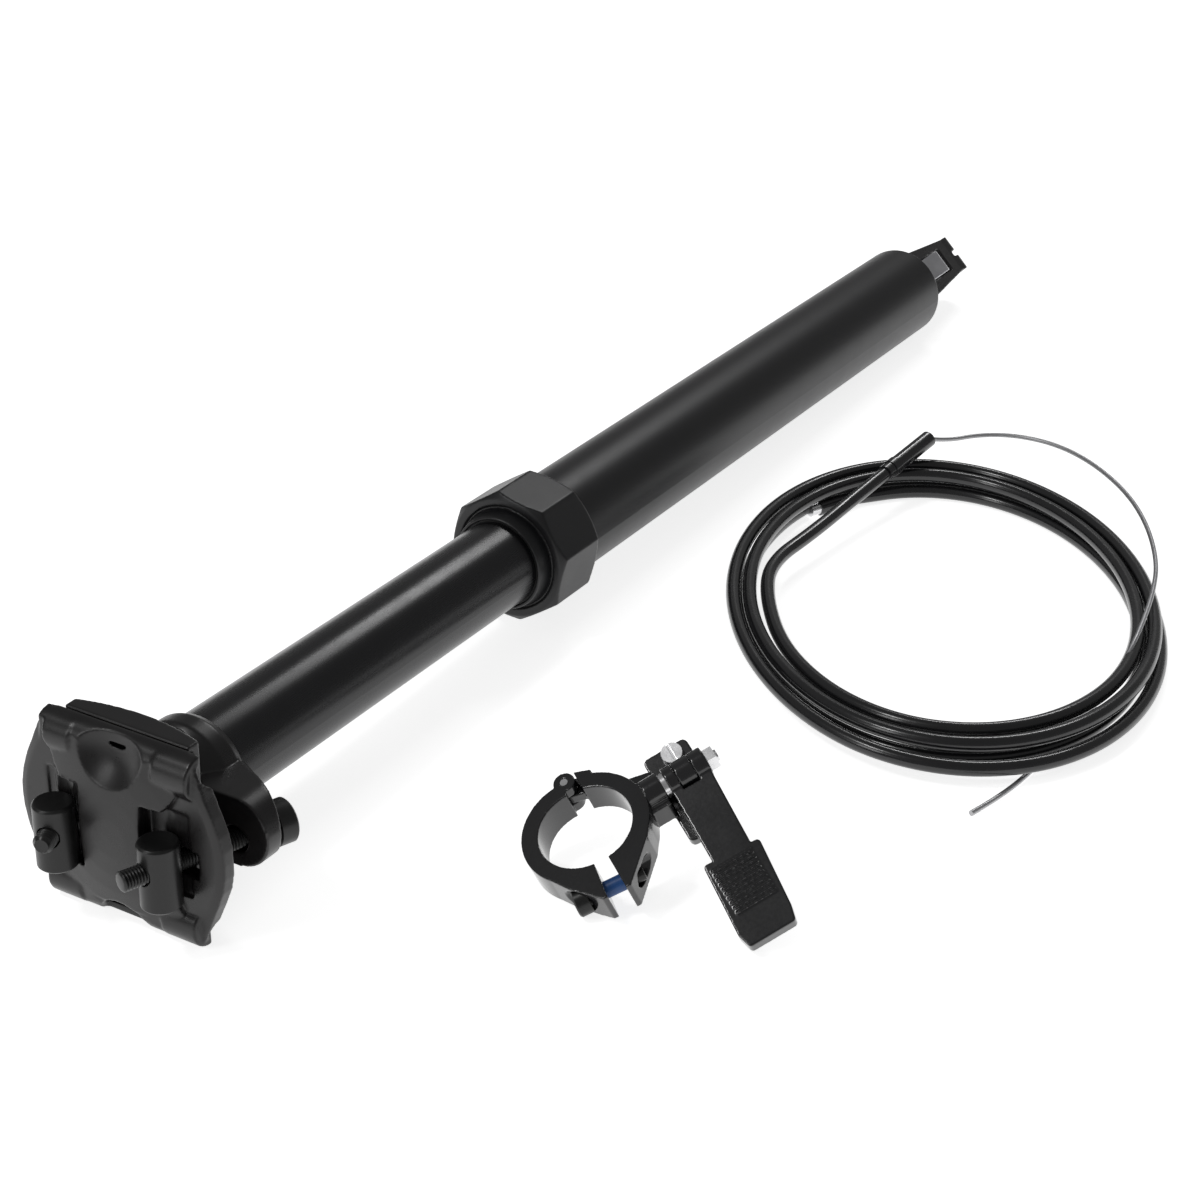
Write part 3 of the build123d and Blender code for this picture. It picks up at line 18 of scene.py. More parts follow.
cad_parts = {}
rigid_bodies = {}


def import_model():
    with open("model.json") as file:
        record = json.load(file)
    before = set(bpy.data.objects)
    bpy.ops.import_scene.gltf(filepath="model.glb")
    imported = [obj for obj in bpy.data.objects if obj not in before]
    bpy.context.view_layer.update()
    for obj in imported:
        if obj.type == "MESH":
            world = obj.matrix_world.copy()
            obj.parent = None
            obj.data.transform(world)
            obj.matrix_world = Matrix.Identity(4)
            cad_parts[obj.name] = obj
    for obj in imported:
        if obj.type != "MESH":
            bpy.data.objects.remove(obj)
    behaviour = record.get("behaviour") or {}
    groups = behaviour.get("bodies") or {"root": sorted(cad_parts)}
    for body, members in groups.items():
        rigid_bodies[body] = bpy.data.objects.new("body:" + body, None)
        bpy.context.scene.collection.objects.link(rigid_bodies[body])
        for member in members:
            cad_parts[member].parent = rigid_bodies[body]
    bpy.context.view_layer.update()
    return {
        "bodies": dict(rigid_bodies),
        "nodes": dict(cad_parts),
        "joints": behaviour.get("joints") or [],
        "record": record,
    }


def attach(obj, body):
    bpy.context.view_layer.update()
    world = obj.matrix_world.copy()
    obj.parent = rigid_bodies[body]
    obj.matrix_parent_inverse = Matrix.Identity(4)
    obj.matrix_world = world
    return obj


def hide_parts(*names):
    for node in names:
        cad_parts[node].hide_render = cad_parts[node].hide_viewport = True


log = logging.getLogger("kit")

MM = 0.001
SHARP_ANGLE = math.radians(32)
CRADLE_STEPS = 128
BOW_STEPS = 256
BOLT_STEPS = 64
SCREW_STEPS = 48

POST_LEAN = math.radians(1.72)
FLOOR_DROP = 22.65 * MM
REMOTE_ORIGIN = Vector((-112.9, -84.1, 15.45 - 22.65)) * MM
RING_AXIS = Vector((-0.4552, 0.0931, 0.8858))
RING_SIDE = Vector((0.6932, -0.5874, 0.418))
STRAP_OPENING = math.radians(-6.3)

# Saddle clamp, bolt ears, clamp bolts and barrel nuts, in millimetres from the head's axis
HEAD_DROP = 2.8
CLAMP_OUTLINE = (
    (30.6, 0.0),
    (30.4, 3.5),
    (29.6, 7.5),
    (28.0, 11.8),
    (26.0, 16.2),
    (24.2, 20.6),
    (22.6, 24.0),
    (20.8, 25.4),
    (18.5, 25.8),
)
CLAMP_BASE = 179.7
CRADLE_TOP = 179.3
CLAMP_CROWN = 188.2
DOME_RADIUS = 105.0
LIP_RADIUS = 6.0
LIP_OFFSET = 19.7
LIP_STATION = 179.9
TERRACE_INNER = 9.2
TERRACE_STATION = 184.2
LOBE_OFFSET = 24.7
LOBE_RADIUS = 20.5
SCOOP_OFFSET = 25.4
SCOOP_STATION = 199.0
SCOOP_RADIUS = 17.0
NOTCH_OFFSET = 27.0
NOTCH_RADIUS = 8.2
RAIL_OFFSET = 21.2
RAIL_SINK = 0.9
RAIL_RADIUS = 3.5
POCKET_REACH = 21.3
POCKET_HALF_WIDTH = 11.2
PAD_INNER = 12.4
PAD_OUTER = 22.6
PAD_OFFSET = 19.9
PAD_STATION = 180.5
PAD_RADIUS = 5.6
SLOT_INNER = 14.6
SLOT_OUTER = 23.4
SLOT_HALF_WIDTH = 3.6
NOTCH_FLOOR = 181.6
NUT_OFFSET = 15.8
NUT_STATION = 188.8
NUT_RADIUS = 5.05
NUT_HALF_LENGTH = 8.6
BOLT_DROP = 2.0
BOLT_LEAN = math.radians(20)
BOLT_RADIUS = 2.55
BOLT_GRIP = 27.5
THREAD_PITCH = 0.8
THREAD_DEPTH = 0.40
CRADLE_BOW = 62.0
CRADLE_THICKNESS = 6.6
CRADLE_STATION = 176.0
CRADLE_RADIUS = 14.0
CRADLE_FIT = 0.1
CRADLE_SIDE_GAP = 0.3
BOSS_SINK = 1.0
EAR_HALF_WIDTH = 9.2
EAR_REACH = 32.5
EAR_TOP = 170.0
EAR_TIP = 164.8
EAR_ROOT_REACH = 15.0
EAR_ROOT = 155.5
HUB_OUTLINE = ((0, 153.6), (13.4, 153.6), (14.6, 156.0), (14.6, 160.5), (9.3, 169.0), (0, 169.0))
SOCKET_RADIUS = 12.5
SOCKET_END = 160
SEAT_RADIUS = 6.6
SEAT_BACK = 6.5
SEAT_HALF_WIDTH = 6.0
BOLT_WAY_RADIUS = 3.4
BOLT_WAY_START = 3
BOLT_WAY_END = 8
BOLT_HEAD_OUTLINE = ((0, 4.4), (1.5, 4.4), (2.9, 4.7), (2.9, 7.0), (5.2, 7.0), (5.6, 6.6), (5.6, 2.4))
BOLT_NECK = 0.6
BOLT_TIP_CHAMFER = 0.4
BOLT_TAILS = {1: 10.2, -1: 8.4}
THREAD_START = 4
CREST_START_SHARE = 0.4
CREST_END_SHARE = 0.55
POCKET_SINK = 0.6
POCKET_CLEARANCE = 0.25
PAD_SINK = 0.4
NUT_DROP = 1.4
NUT_EDGE = 0.5
NUT_BORE_CLEARANCE = 0.3

# Reach of cutting solids past what they cut, in millimetres
OVERRUN = 1
LONG_OVERRUN = 9
HEAD_START = 140
HEAD_END = 175
HEAD_SPAN = 30
BOSS_SPAN = 20
PLATE_SPAN = 40

# Rounding of the head's edges
PLATE_SOFTENING = (0.36 * MM, 5)
CRADLE_SOFTENING = (0.36 * MM, 4)
HEAD_SOFTENING = (0.36 * MM, 6)
NUT_SOFTENING = (0.18 * MM, 3)

# Remote's clamp screw, in millimetres
RING_RADIUS = 15.5
RING_WIDTH = 9.0
HINGE_OFFSET = 0.2
SCREW_DROP = 16.5
SCREW_SEAT = 5.0
SCREW_HEAD_RADIUS = 3.5
SCREW_HEAD_LENGTH = 3.6
SCREW_SOCKET_RADIUS = 1.9
SCREW_SOCKET_DEPTH = 2.2
SCREW_RADIUS = 1.95
SCREW_REACH = 9.5
SCREW_EDGE = 0.4
LOCK_RADIUS = 2.1
LOCK_START = -1.5
LOCK_END = 6.0

# Camera
CAMERA_PLACE = Vector((-0.5398, -0.3471, 0.3294))
CAMERA_ELEVATION = math.radians(28.73)
CAMERA_BEARING = math.radians(31.30)
CAMERA_LENS = 75.0
CAMERA_SENSOR = 36.0
CAMERA_CLIP = (0.01, 20.0)

# Glow of the floor, and of the room as the pieces see it
FLOOR_GLOW = 0.78
ROOM_GLOW = 0.22
BACKDROP_GLOW = 1.2
FLOOR_HALF_WIDTH = 6.0
FLOOR_SHADE = 0.90
FLOOR_ROUGHNESS = 0.9

# Cable housing and its coil
HOUSING_RADIUS = 2.1 * MM
COIL_CENTRE = (51.0 * MM, -104.0 * MM)
COIL_HEADING = math.radians(30)
COIL_INNER_REACH = 75.0 * MM
COIL_INNER_WIDTH = 52.2 * MM
COIL_REACH_PITCH = 7.0 * MM
COIL_WIDTH_PITCH = 4.75 * MM
COIL_LOOPS = 4
COIL_START_ANGLE = 24.0
COIL_END_ANGLE = 92.4
COIL_START_SHARE = 0.6
COIL_OUT_SHARE = 0.433
COIL_FLOOR_GAP = 0.4 * MM
COIL_LAYER_RISE = 5.2 * MM
COIL_LIFT = 1.6 * MM
COIL_LIFT_ANGLE = 200.0
COIL_LIFT_WINDOW = 70.0
COIL_POINTS_PER_TURN = 16
LEAD_POINTS = (
    (22.1, -61.2, 7.7),
    (42.3, -51.7, 7.7),
    (65.4, -54.3, 8.5),
    (88.5, -55.9, 10.0),
    (105.5, -58.6, 12.5),
)
SLEEVE_LENGTH = 24.0 * MM

# Bare inner wire
WIRE_RADIUS = 0.7 * MM
WIRE_POINTS = (
    (137.3, -65.1, 12.6),
    (146.2, -72.6, 13.1),
    (151.2, -84.0, 13.5),
    (149.9, -98.5, 14.0),
    (142.2, -113.7, 14.0),
    (128.9, -129.5, 13.5),
    (112.1, -142.0, 13.0),
    (92.6, -152.0, 12.5),
    (76.0, -157.0, 12.2),
    (59.3, -160.4, 11.8),
    (45.0, -162.6, 11.1),
    (34.5, -161.6, 5.4),
    (24.1, -160.4, 1.4),
    (8.0, -159.3, 0.75),
    (-10.0, -158.2, 0.75),
    (-26.0, -156.5, 0.75),
    (-36.5, -153.5, 0.75),
)
WIRE_STRANDS = 12
WIRE_LAY = 9.0 * MM


# Sizes of a finish's patterns against its grain, and how far they show
DRAWN_STRETCH = 0.06
BROAD_SHARE = 0.04
SPECK_SHARE = 0.35
SPECK_HEIGHT_SHARE = 0.6
BROAD_WANDER = 1.4
LIGHT_WANDER = 2.5
DARK_WANDER = 1.5
BUMP_STRENGTH = 0.7
COAT_ROUGHNESS = 0.06

# Places of the colour sockets on a Mix node
MIX_FIRST_COLOR = 6
MIX_SECOND_COLOR = 7
MIX_COLOR_RESULT = 2


class Grain(Enum):
    """Fine surface pattern of a finish."""

    BLASTED = "blasted"
    DRAWN = "drawn"
    MOULDED = "moulded"


@dataclass(frozen=True)
class Finish:
    """Look of one material.

    Args:
        name: Material name.
        color: Linear base colour.
        roughness: Mean roughness.
        metallic: Share of metal in the shader.
        coat: Weight of a clear coat.
        grain: Fine surface pattern.
        grain_size: Size of the pattern's features.
        grain_depth: Height of the pattern's features.
        unevenness: How far the roughness and colour wander.
    """

    name: str
    color: tuple[float, float, float]
    roughness: float
    metallic: float = 0.0
    coat: float = 0.0
    grain: Grain = Grain.MOULDED
    grain_size: float = 0.3 * MM
    grain_depth: float = 0.004 * MM
    unevenness: float = 0.12


ANODISED = Finish("black_anodised", (0.0095, 0.0095, 0.0105), 0.37, 0.25, grain=Grain.DRAWN, unevenness=0.06)
STANCHION = Finish("black_stanchion", (0.008, 0.008, 0.009), 0.27, 0.25, grain=Grain.DRAWN, unevenness=0.06)
FORGED = Finish("black_forged", (0.0070, 0.0063, 0.0066), 0.34, 0.10, grain=Grain.BLASTED,
                grain_size=0.35 * MM, grain_depth=0.010 * MM, unevenness=0.22)
FASTENER = Finish("black_fastener", (0.012, 0.012, 0.012), 0.33, 0.3, grain=Grain.BLASTED)
GLOSS = Finish("gloss_black", (0.006, 0.006, 0.007), 0.22, 0.0, coat=0.6, grain_size=0.9 * MM,
               grain_depth=0.010 * MM)
MACHINED = Finish("cartridge_aluminium", (0.55, 0.55, 0.57), 0.32, 1.0, grain=Grain.DRAWN)
STEEL = Finish("polished_steel", (0.72, 0.72, 0.73), 0.24, 1.0, grain=Grain.BLASTED)
WIRE = Finish("wire_steel", (0.42, 0.42, 0.43), 0.42, 0.8, grain=Grain.BLASTED)
BRASS = Finish("key_brass", (0.70, 0.52, 0.22), 0.34, 1.0, grain=Grain.BLASTED)
BUSHING = Finish("bushing_plastic", (0.05, 0.05, 0.052), 0.55)
HOUSING = Finish("housing_plastic", (0.007, 0.007, 0.008), 0.25, coat=0.3, grain_size=0.8 * MM)
RUBBER = Finish("seal_rubber", (0.010, 0.010, 0.010), 0.62)
THREAD_LOCK = Finish("blue_thread_lock", (0.010, 0.075, 0.26), 0.42, grain=Grain.BLASTED)


class Value:
    """A shader value that sums and products can be written on."""

    def __init__(self, shader: "Shader", socket: bpy.types.NodeSocket) -> None:
        self.shader = shader
        self.socket = socket

    def _math(self, operation: str, other: "Value | float") -> "Value":
        return self.shader.node("ShaderNodeMath", {0: self, 1: other}, operation=operation)

    def __add__(self, other: "Value | float") -> "Value":
        return self._math("ADD", other)

    def __sub__(self, other: "Value | float") -> "Value":
        return self._math("SUBTRACT", other)

    def __mul__(self, other: "Value | float") -> "Value":
        return self._math("MULTIPLY", other)

    def __radd__(self, other: float) -> "Value":
        return self + other

    def __rsub__(self, other: float) -> "Value":
        return self.shader.node("ShaderNodeMath", {0: other, 1: self}, operation="SUBTRACT")

    def __rmul__(self, other: float) -> "Value":
        return self * other


class Shader:
    """A material's node tree, built from a finish."""

    def __init__(self, name: str) -> None:
        self.material = bpy.data.materials.new(name)
        self.material.use_nodes = True
        self.tree = self.material.node_tree
        self.surface = self.tree.nodes["Principled BSDF"]

    def node(self, kind: str, inputs: dict, output: int | str = 0, **settings) -> Value:
        """Add a node and return one of its outputs.

        Args:
            kind: Node type.
            inputs: Value or number for each input, by name or index.
            output: Which output to return.
            settings: Properties of the node.

        Returns:
            The chosen output.
        """
        made = self.tree.nodes.new(kind)
        for key, setting in settings.items():
            setattr(made, key, setting)
        for key, given in inputs.items():
            self.feed(made.inputs[key], given)
        return Value(self, made.outputs[output])

    def feed(self, socket: bpy.types.NodeSocket, given: "Value | float | tuple") -> None:
        """Link a value to an input, or set the input's own number."""
        if isinstance(given, Value):
            self.tree.links.new(given.socket, socket)
        else:
            socket.default_value = given


def make_material(finish: Finish) -> bpy.types.Material:
    """Build the procedural material of a finish.

    Args:
        finish: The finish to build.

    Returns:
        The material.
    """
    shader = Shader(finish.name)
    place = shader.node("ShaderNodeTexCoord", {}, "Object")
    if finish.grain is Grain.DRAWN:
        place_fine = shader.node("ShaderNodeMapping", {"Vector": place, "Scale": (DRAWN_STRETCH, 1.0, 1.0)})
    else:
        place_fine = place
    fine = shader.node(
        "ShaderNodeTexNoise",
        {"Vector": place_fine, "Scale": 1 / finish.grain_size, "Detail": 3.0, "Roughness": 0.6},
    )
    broad = shader.node(
        "ShaderNodeTexNoise",
        {"Vector": place, "Scale": BROAD_SHARE / finish.grain_size, "Detail": 4.0, "Roughness": 0.55},
    )
    specks = shader.node(
        "ShaderNodeTexNoise",
        {"Vector": place, "Scale": SPECK_SHARE / finish.grain_size, "Detail": 2.0, "Roughness": 0.5},
    )
    wander = (broad - 0.5) * (finish.unevenness * BROAD_WANDER) + (fine - 0.5) * finish.unevenness
    shader.feed(shader.surface.inputs["Roughness"], wander + finish.roughness)
    light = tuple(min(1.0, part * (1 + finish.unevenness * LIGHT_WANDER)) for part in finish.color)
    dark = tuple(part * (1 - finish.unevenness * DARK_WANDER) for part in finish.color)
    blend = shader.node(
        "ShaderNodeMix",
        {0: broad, MIX_FIRST_COLOR: (*dark, 1.0), MIX_SECOND_COLOR: (*light, 1.0)},
        MIX_COLOR_RESULT,
        data_type="RGBA",
    )
    shader.feed(shader.surface.inputs["Base Color"], blend)
    height = fine + specks * SPECK_HEIGHT_SHARE
    bump = shader.node(
        "ShaderNodeBump",
        {"Height": height, "Distance": finish.grain_depth, "Strength": BUMP_STRENGTH},
    )
    shader.feed(shader.surface.inputs["Normal"], bump)
    shader.surface.inputs["Metallic"].default_value = finish.metallic
    shader.surface.inputs["Coat Weight"].default_value = finish.coat
    shader.surface.inputs["Coat Roughness"].default_value = COAT_ROUGHNESS
    return shader.material


class Frame:
    def __init__(self, origin: Vector, x_axis: Vector, z_axis: Vector) -> None:
        z_axis = z_axis.normalized()
        x_axis = (x_axis - z_axis * x_axis.dot(z_axis)).normalized()
        y_axis = z_axis.cross(x_axis)
        self.matrix = Matrix.Translation(origin) @ Matrix((x_axis, y_axis, z_axis)).transposed().to_4x4()

    def point(self, x: float, y: float, z: float) -> Vector:
        """Row point of a local point given in millimetres."""
        return self.matrix @ (Vector((x, y, z)) * MM)

    def axis(self, index: int) -> Vector:
        """Row direction of a local axis."""
        return self.matrix.to_3x3().col[index].copy()


POST = Frame(Vector((0, 0, 0)), Vector((0, -1, 0)), Vector((-math.cos(POST_LEAN), 0, math.sin(POST_LEAN))))
REMOTE = Frame(REMOTE_ORIGIN, RING_SIDE, RING_AXIS)
STRAP_HINGE = Frame(
    REMOTE.point(HINGE_OFFSET, RING_RADIUS, 0),
    REMOTE.axis(0) * math.cos(STRAP_OPENING) + REMOTE.axis(1) * math.sin(STRAP_OPENING),
    RING_AXIS,
)
SCREW = Frame(
    STRAP_HINGE.point(-HINGE_OFFSET, -RING_RADIUS - SCREW_DROP, -RING_WIDTH / 2),
    STRAP_HINGE.axis(1),
    STRAP_HINGE.axis(0),
)
HEAD = Frame(POST.point(0, -HEAD_DROP, 0), POST.axis(0), POST.axis(2))
HEAD_SIDE = Frame(HEAD.matrix.translation, POST.axis(0), -POST.axis(1))
HEAD_FRONT = Frame(HEAD.matrix.translation, POST.axis(1), POST.axis(0))
BOLT_SIDE = Frame(HEAD.point(0, -BOLT_DROP, 0), POST.axis(0), -POST.axis(1))


class Piece:
    """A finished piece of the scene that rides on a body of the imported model."""

    def __init__(self, name: str, mesh: bpy.types.Mesh | bpy.types.Curve) -> None:
        self.object = bpy.data.objects.new(name, mesh)
        bpy.context.scene.collection.objects.link(self.object)

    def dress(self, material: bpy.types.Material, slot: str) -> "Piece":
        """Give the piece its material."""
        self.object.data.materials.clear()
        self.object.data.materials.append(material)
        return self

    def modify(self, kind: str, **settings) -> "Piece":
        """Add a modifier."""
        made = self.object.modifiers.new(kind.lower(), kind)
        for key, setting in settings.items():
            setattr(made, key, setting)
        return self

    def settle(self) -> "Piece":
        """Apply every modifier to the mesh and shade it smooth."""
        graph = bpy.context.evaluated_depsgraph_get()
        mesh = bpy.data.meshes.new_from_object(self.object.evaluated_get(graph))
        self.object.modifiers.clear()
        self.object.data = mesh
        mesh.shade_smooth()
        return self

    def release(self) -> bpy.types.Mesh:
        """Take the mesh out of the piece and drop its object."""
        mesh = self.object.data
        bpy.data.objects.remove(self.object)
        return mesh

    def place(self, body: str, *nodes: str) -> "Piece":
        """Let the piece ride on a body and stand for CAD nodes."""
        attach(self.object, body)
        if nodes:
            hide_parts(*nodes)
        return self


@dataclass(frozen=True)
class Softening:
    """How far a copied solid's edges are rounded.

    Args:
        voxel: Cell of the remesh.
        passes: Number of smoothing passes.
    """

    voxel: float
    passes: int


def softened(node: bpy.types.Object, softening: Softening) -> Piece:
    """Copy a CAD node's shape with every edge and corner rounded.

    Args:
        node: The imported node.
        softening: Cell size and smoothing.

    Returns:
        The new piece.
    """
    piece = Piece(node.name + "_shape", node.data.copy())
    piece.modify("REMESH", mode="VOXEL", voxel_size=softening.voxel)
    piece.modify("SMOOTH", factor=0.5, iterations=softening.passes)
    return piece.settle()


def turned(name: str, frame: Frame, outline: list[tuple[float, float]], steps: int = 96) -> Piece:
    """Spin a closed outline of (radius, station) points in millimetres about a frame's z.

    Args:
        name: Piece name.
        frame: Local frame.
        outline: Outline points.
        steps: Segments round the axis.

    Returns:
        The new piece.
    """
    work = bmesh.new()
    rim = [work.verts.new(frame.point(radius, 0, station)) for radius, station in outline]
    edges = [work.edges.new((first, second)) for first, second in zip(rim, rim[1:] + rim[:1])]
    bmesh.ops.spin(
        work,
        geom=rim + edges,
        cent=frame.matrix.translation,
        axis=frame.axis(2),
        angle=math.tau,
        steps=steps,
        use_merge=True,
    )
    bmesh.ops.remove_doubles(work, verts=work.verts, dist=0.002 * MM)
    bmesh.ops.recalc_face_normals(work, faces=work.faces)
    mesh = bpy.data.meshes.new(name)
    work.to_mesh(mesh)
    work.free()
    piece = Piece(name, mesh)
    mesh.shade_smooth()
    mesh.set_sharp_from_angle(angle=SHARP_ANGLE)
    return piece


class Solid:
    """A closed mesh that others can be joined to, cut from or held within."""

    def __init__(self, mesh: bpy.types.Mesh) -> None:
        self.mesh = mesh

    def _combine(self, other: "Solid", operation: str) -> "Solid":
        base = bpy.data.objects.new("base", self.mesh)
        tool = bpy.data.objects.new("tool", other.mesh)
        for made in (base, tool):
            bpy.context.scene.collection.objects.link(made)
        cut = base.modifiers.new("cut", "BOOLEAN")
        cut.operation = operation
        cut.object = tool
        cut.solver = "EXACT"
        graph = bpy.context.evaluated_depsgraph_get()
        mesh = bpy.data.meshes.new_from_object(base.evaluated_get(graph))
        for made in (base, tool):
            bpy.data.objects.remove(made)
        return Solid(mesh)

    def __add__(self, other: "Solid") -> "Solid":
        return self._combine(other, "UNION")

    def __sub__(self, other: "Solid") -> "Solid":
        return self._combine(other, "DIFFERENCE")

    def __and__(self, other: "Solid") -> "Solid":
        return self._combine(other, "INTERSECT")

    def rounded(self, name: str, softening: Softening) -> Piece:
        """Round every edge and make the solid a piece."""
        piece = Piece(name, self.mesh)
        piece.modify("REMESH", mode="VOXEL", voxel_size=softening.voxel)
        piece.modify("SMOOTH", factor=0.5, iterations=softening.passes)
        return piece.settle()


def prism(frame: Frame, outline: list[tuple[float, float]], low: float, high: float) -> Solid:
    """Extrude a closed outline along a frame's z.

    Args:
        frame: Local frame.
        outline: Corners in millimetres, anticlockwise.
        low: Station of the first end in millimetres.
        high: Station of the second end in millimetres.

    Returns:
        The solid.
    """
    work = bmesh.new()
    base = work.faces.new([work.verts.new(frame.point(x, y, low)) for x, y in outline])
    grown = bmesh.ops.extrude_face_region(work, geom=[base])
    moved = [item for item in grown["geom"] if isinstance(item, bmesh.types.BMVert)]
    bmesh.ops.translate(work, vec=frame.axis(2) * (high - low) * MM, verts=moved)
    bmesh.ops.recalc_face_normals(work, faces=work.faces)
    mesh = bpy.data.meshes.new("solid")
    work.to_mesh(mesh)
    work.free()
    return Solid(mesh)


def disc(frame: Frame, centre: tuple[float, float], radius: float, low: float, high: float,
         steps: int = 72) -> Solid:
    """Round bar along a frame's z, in millimetres."""
    x, y = centre
    turns = [math.tau * step / steps for step in range(steps)]
    rim = [(x + radius * math.cos(turn), y + radius * math.sin(turn)) for turn in turns]
    return prism(frame, rim, low, high)


def block(frame: Frame, low: tuple[float, float], high: tuple[float, float], reach: float) -> Solid:
    """Box from one corner to another, reaching to both sides of a frame's plane, in millimetres."""
    (x0, x1), (y0, y1) = sorted((low[0], high[0])), sorted((low[1], high[1]))
    return prism(frame, [(x0, y0), (x1, y0), (x1, y1), (x0, y1)], -reach, reach)


def ball(frame: Frame, centre: tuple[float, float, float], radius: float) -> Solid:
    """Sphere round a local point, in millimetres."""
    work = bmesh.new()
    place = Matrix.Translation(frame.point(*centre)) @ frame.matrix.to_3x3().to_4x4()
    bmesh.ops.create_uvsphere(work, u_segments=96, v_segments=64, radius=radius * MM, matrix=place)
    mesh = bpy.data.meshes.new("solid")
    work.to_mesh(mesh)
    work.free()
    return Solid(mesh)


def bolt_frame(side: int) -> Frame:
    """Frame at a barrel nut's centre with its z along the clamp bolt, for the side +1 or -1."""
    along = HEAD.axis(2) * math.cos(BOLT_LEAN) - HEAD.axis(0) * (math.sin(BOLT_LEAN) * side)
    return Frame(HEAD.point(NUT_OFFSET * side, -BOLT_DROP, NUT_STATION), HEAD.axis(1), along)


def mirrored(corners: tuple[tuple[float, float], ...]) -> list[tuple[float, float]]:
    """Whole anticlockwise outline from the corners of its first quarter."""
    upper_left = [(-x, y) for x, y in reversed(corners)]
    lower_left = [(-x, -y) for x, y in corners[1:]]
    lower_right = [(x, -y) for x, y in reversed(corners[1:])]
    return list(corners) + upper_left + lower_left + lower_right


class Head:
    """Saddle end of the post: head with ears, cradle, clamp plate, bolts and barrel nuts."""

    def __init__(self, materials: dict[str, bpy.types.Material]) -> None:
        self.materials = materials

    def build(self) -> None:
        """Make every piece of the head."""
        forged = "black_forged"
        self.finish(self.clamp(), "upper_clamp", Softening(*PLATE_SOFTENING), forged, "saddle_clamp")
        self.finish(self.cradle(), "lower_cradle", Softening(*CRADLE_SOFTENING), forged, "saddle_clamp")
        self.finish(self.head(), "post_head", Softening(*HEAD_SOFTENING), forged, "stanchion")
        for side, name in ((1, "rear"), (-1, "front")):
            self.finish(self.nut(side), name + "_nut", Softening(*NUT_SOFTENING), "black_fastener",
                        name + "_barrel_nut")
            bolt = self.bolt(side)
            bolt.dress(self.materials["black_fastener"], "black_fastener")
            bolt.place(name + "_clamp_bolt", name + "_bolt")

    def finish(self, solid: Solid, node: str, softening: Softening, slot: str, body: str) -> None:
        """Round a solid, give it its material and let it stand for its node."""
        piece = solid.rounded(node + "_shape", softening)
        piece.dress(self.materials[slot], slot)
        piece.place(body, node)

    def clamp(self) -> Solid:
        """Domed clamp plate with rail lips, a scoop, a notch, terraces and nut pockets."""
        over = CLAMP_CROWN + 2 * OVERRUN
        width = CLAMP_OUTLINE[-1][1]
        reach = CLAMP_OUTLINE[0][0]
        plate = prism(HEAD, mirrored(CLAMP_OUTLINE), CLAMP_BASE, over)
        plate &= ball(HEAD, (0, 0, CLAMP_CROWN - DOME_RADIUS), DOME_RADIUS)
        for side in (1, -1):
            lip = block(HEAD_FRONT, (LIP_OFFSET * side, CLAMP_BASE - OVERRUN),
                        ((width + OVERRUN) * side, over), reach)
            lip -= disc(HEAD_FRONT, (LIP_OFFSET * side, LIP_STATION), LIP_RADIUS, -reach - OVERRUN,
                        reach + OVERRUN)
            plate -= lip
            plate -= disc(HEAD_FRONT, (RAIL_OFFSET * side, CLAMP_BASE - RAIL_SINK), RAIL_RADIUS,
                          -reach - OVERRUN, reach + OVERRUN)
            plate -= self.terrace(side, reach + OVERRUN, width + OVERRUN, over)
            plate -= block(HEAD_SIDE, (TERRACE_INNER * side, TERRACE_STATION - POCKET_SINK),
                           (POCKET_REACH * side, over), POCKET_HALF_WIDTH)
            plate -= disc(HEAD_SIDE, (NUT_OFFSET * side, NUT_STATION), NUT_RADIUS + POCKET_CLEARANCE,
                          -POCKET_HALF_WIDTH, POCKET_HALF_WIDTH)
            plate -= block(BOLT_SIDE, (SLOT_INNER * side, CLAMP_BASE - OVERRUN), (SLOT_OUTER * side, over),
                           SLOT_HALF_WIDTH)
            for end in (1, -1):
                plate += self.rail_pad(side, end)
        plate -= ball(HEAD, (0, SCOOP_OFFSET, SCOOP_STATION), SCOOP_RADIUS)
        plate -= disc(HEAD, (0, -NOTCH_OFFSET), NOTCH_RADIUS, NOTCH_FLOOR, over)
        return plate

    def terrace(self, side: int, reach: float, width: float, over: float) -> Solid:
        """What is cut off the plate beside a nut, down to the terrace between the two lobes.

        Args:
            side: Side of the nut, +1 or -1.
            reach: Far end of the cut along the rails.
            width: Half of the cut across the rails.
            over: Station above the plate.

        Returns:
            The cut.
        """
        near, far = sorted((TERRACE_INNER * side, reach * side))
        corners = [(near, -width), (far, -width), (far, width), (near, width)]
        cut = prism(HEAD, corners, TERRACE_STATION, over)
        for lobe in (1, -1):
            cut -= disc(HEAD, (0, LOBE_OFFSET * lobe), LOBE_RADIUS, TERRACE_STATION - OVERRUN, over + OVERRUN)
        return cut

    def rail_pad(self, side: int, end: int) -> Solid:
        """Half-round bar over a rail at one corner of the plate.

        Args:
            side: Side of the rail, +1 or -1.
            end: End of the plate, +1 or -1.

        Returns:
            The bar.
        """
        low, high = sorted((PAD_INNER * end, PAD_OUTER * end))
        bar = disc(HEAD_FRONT, (PAD_OFFSET * side, PAD_STATION), PAD_RADIUS, low, high)
        return bar - block(HEAD_FRONT, (-PLATE_SPAN, PAD_STATION - LONG_OVERRUN),
                           (PLATE_SPAN, PAD_STATION - PAD_SINK), PLATE_SPAN)

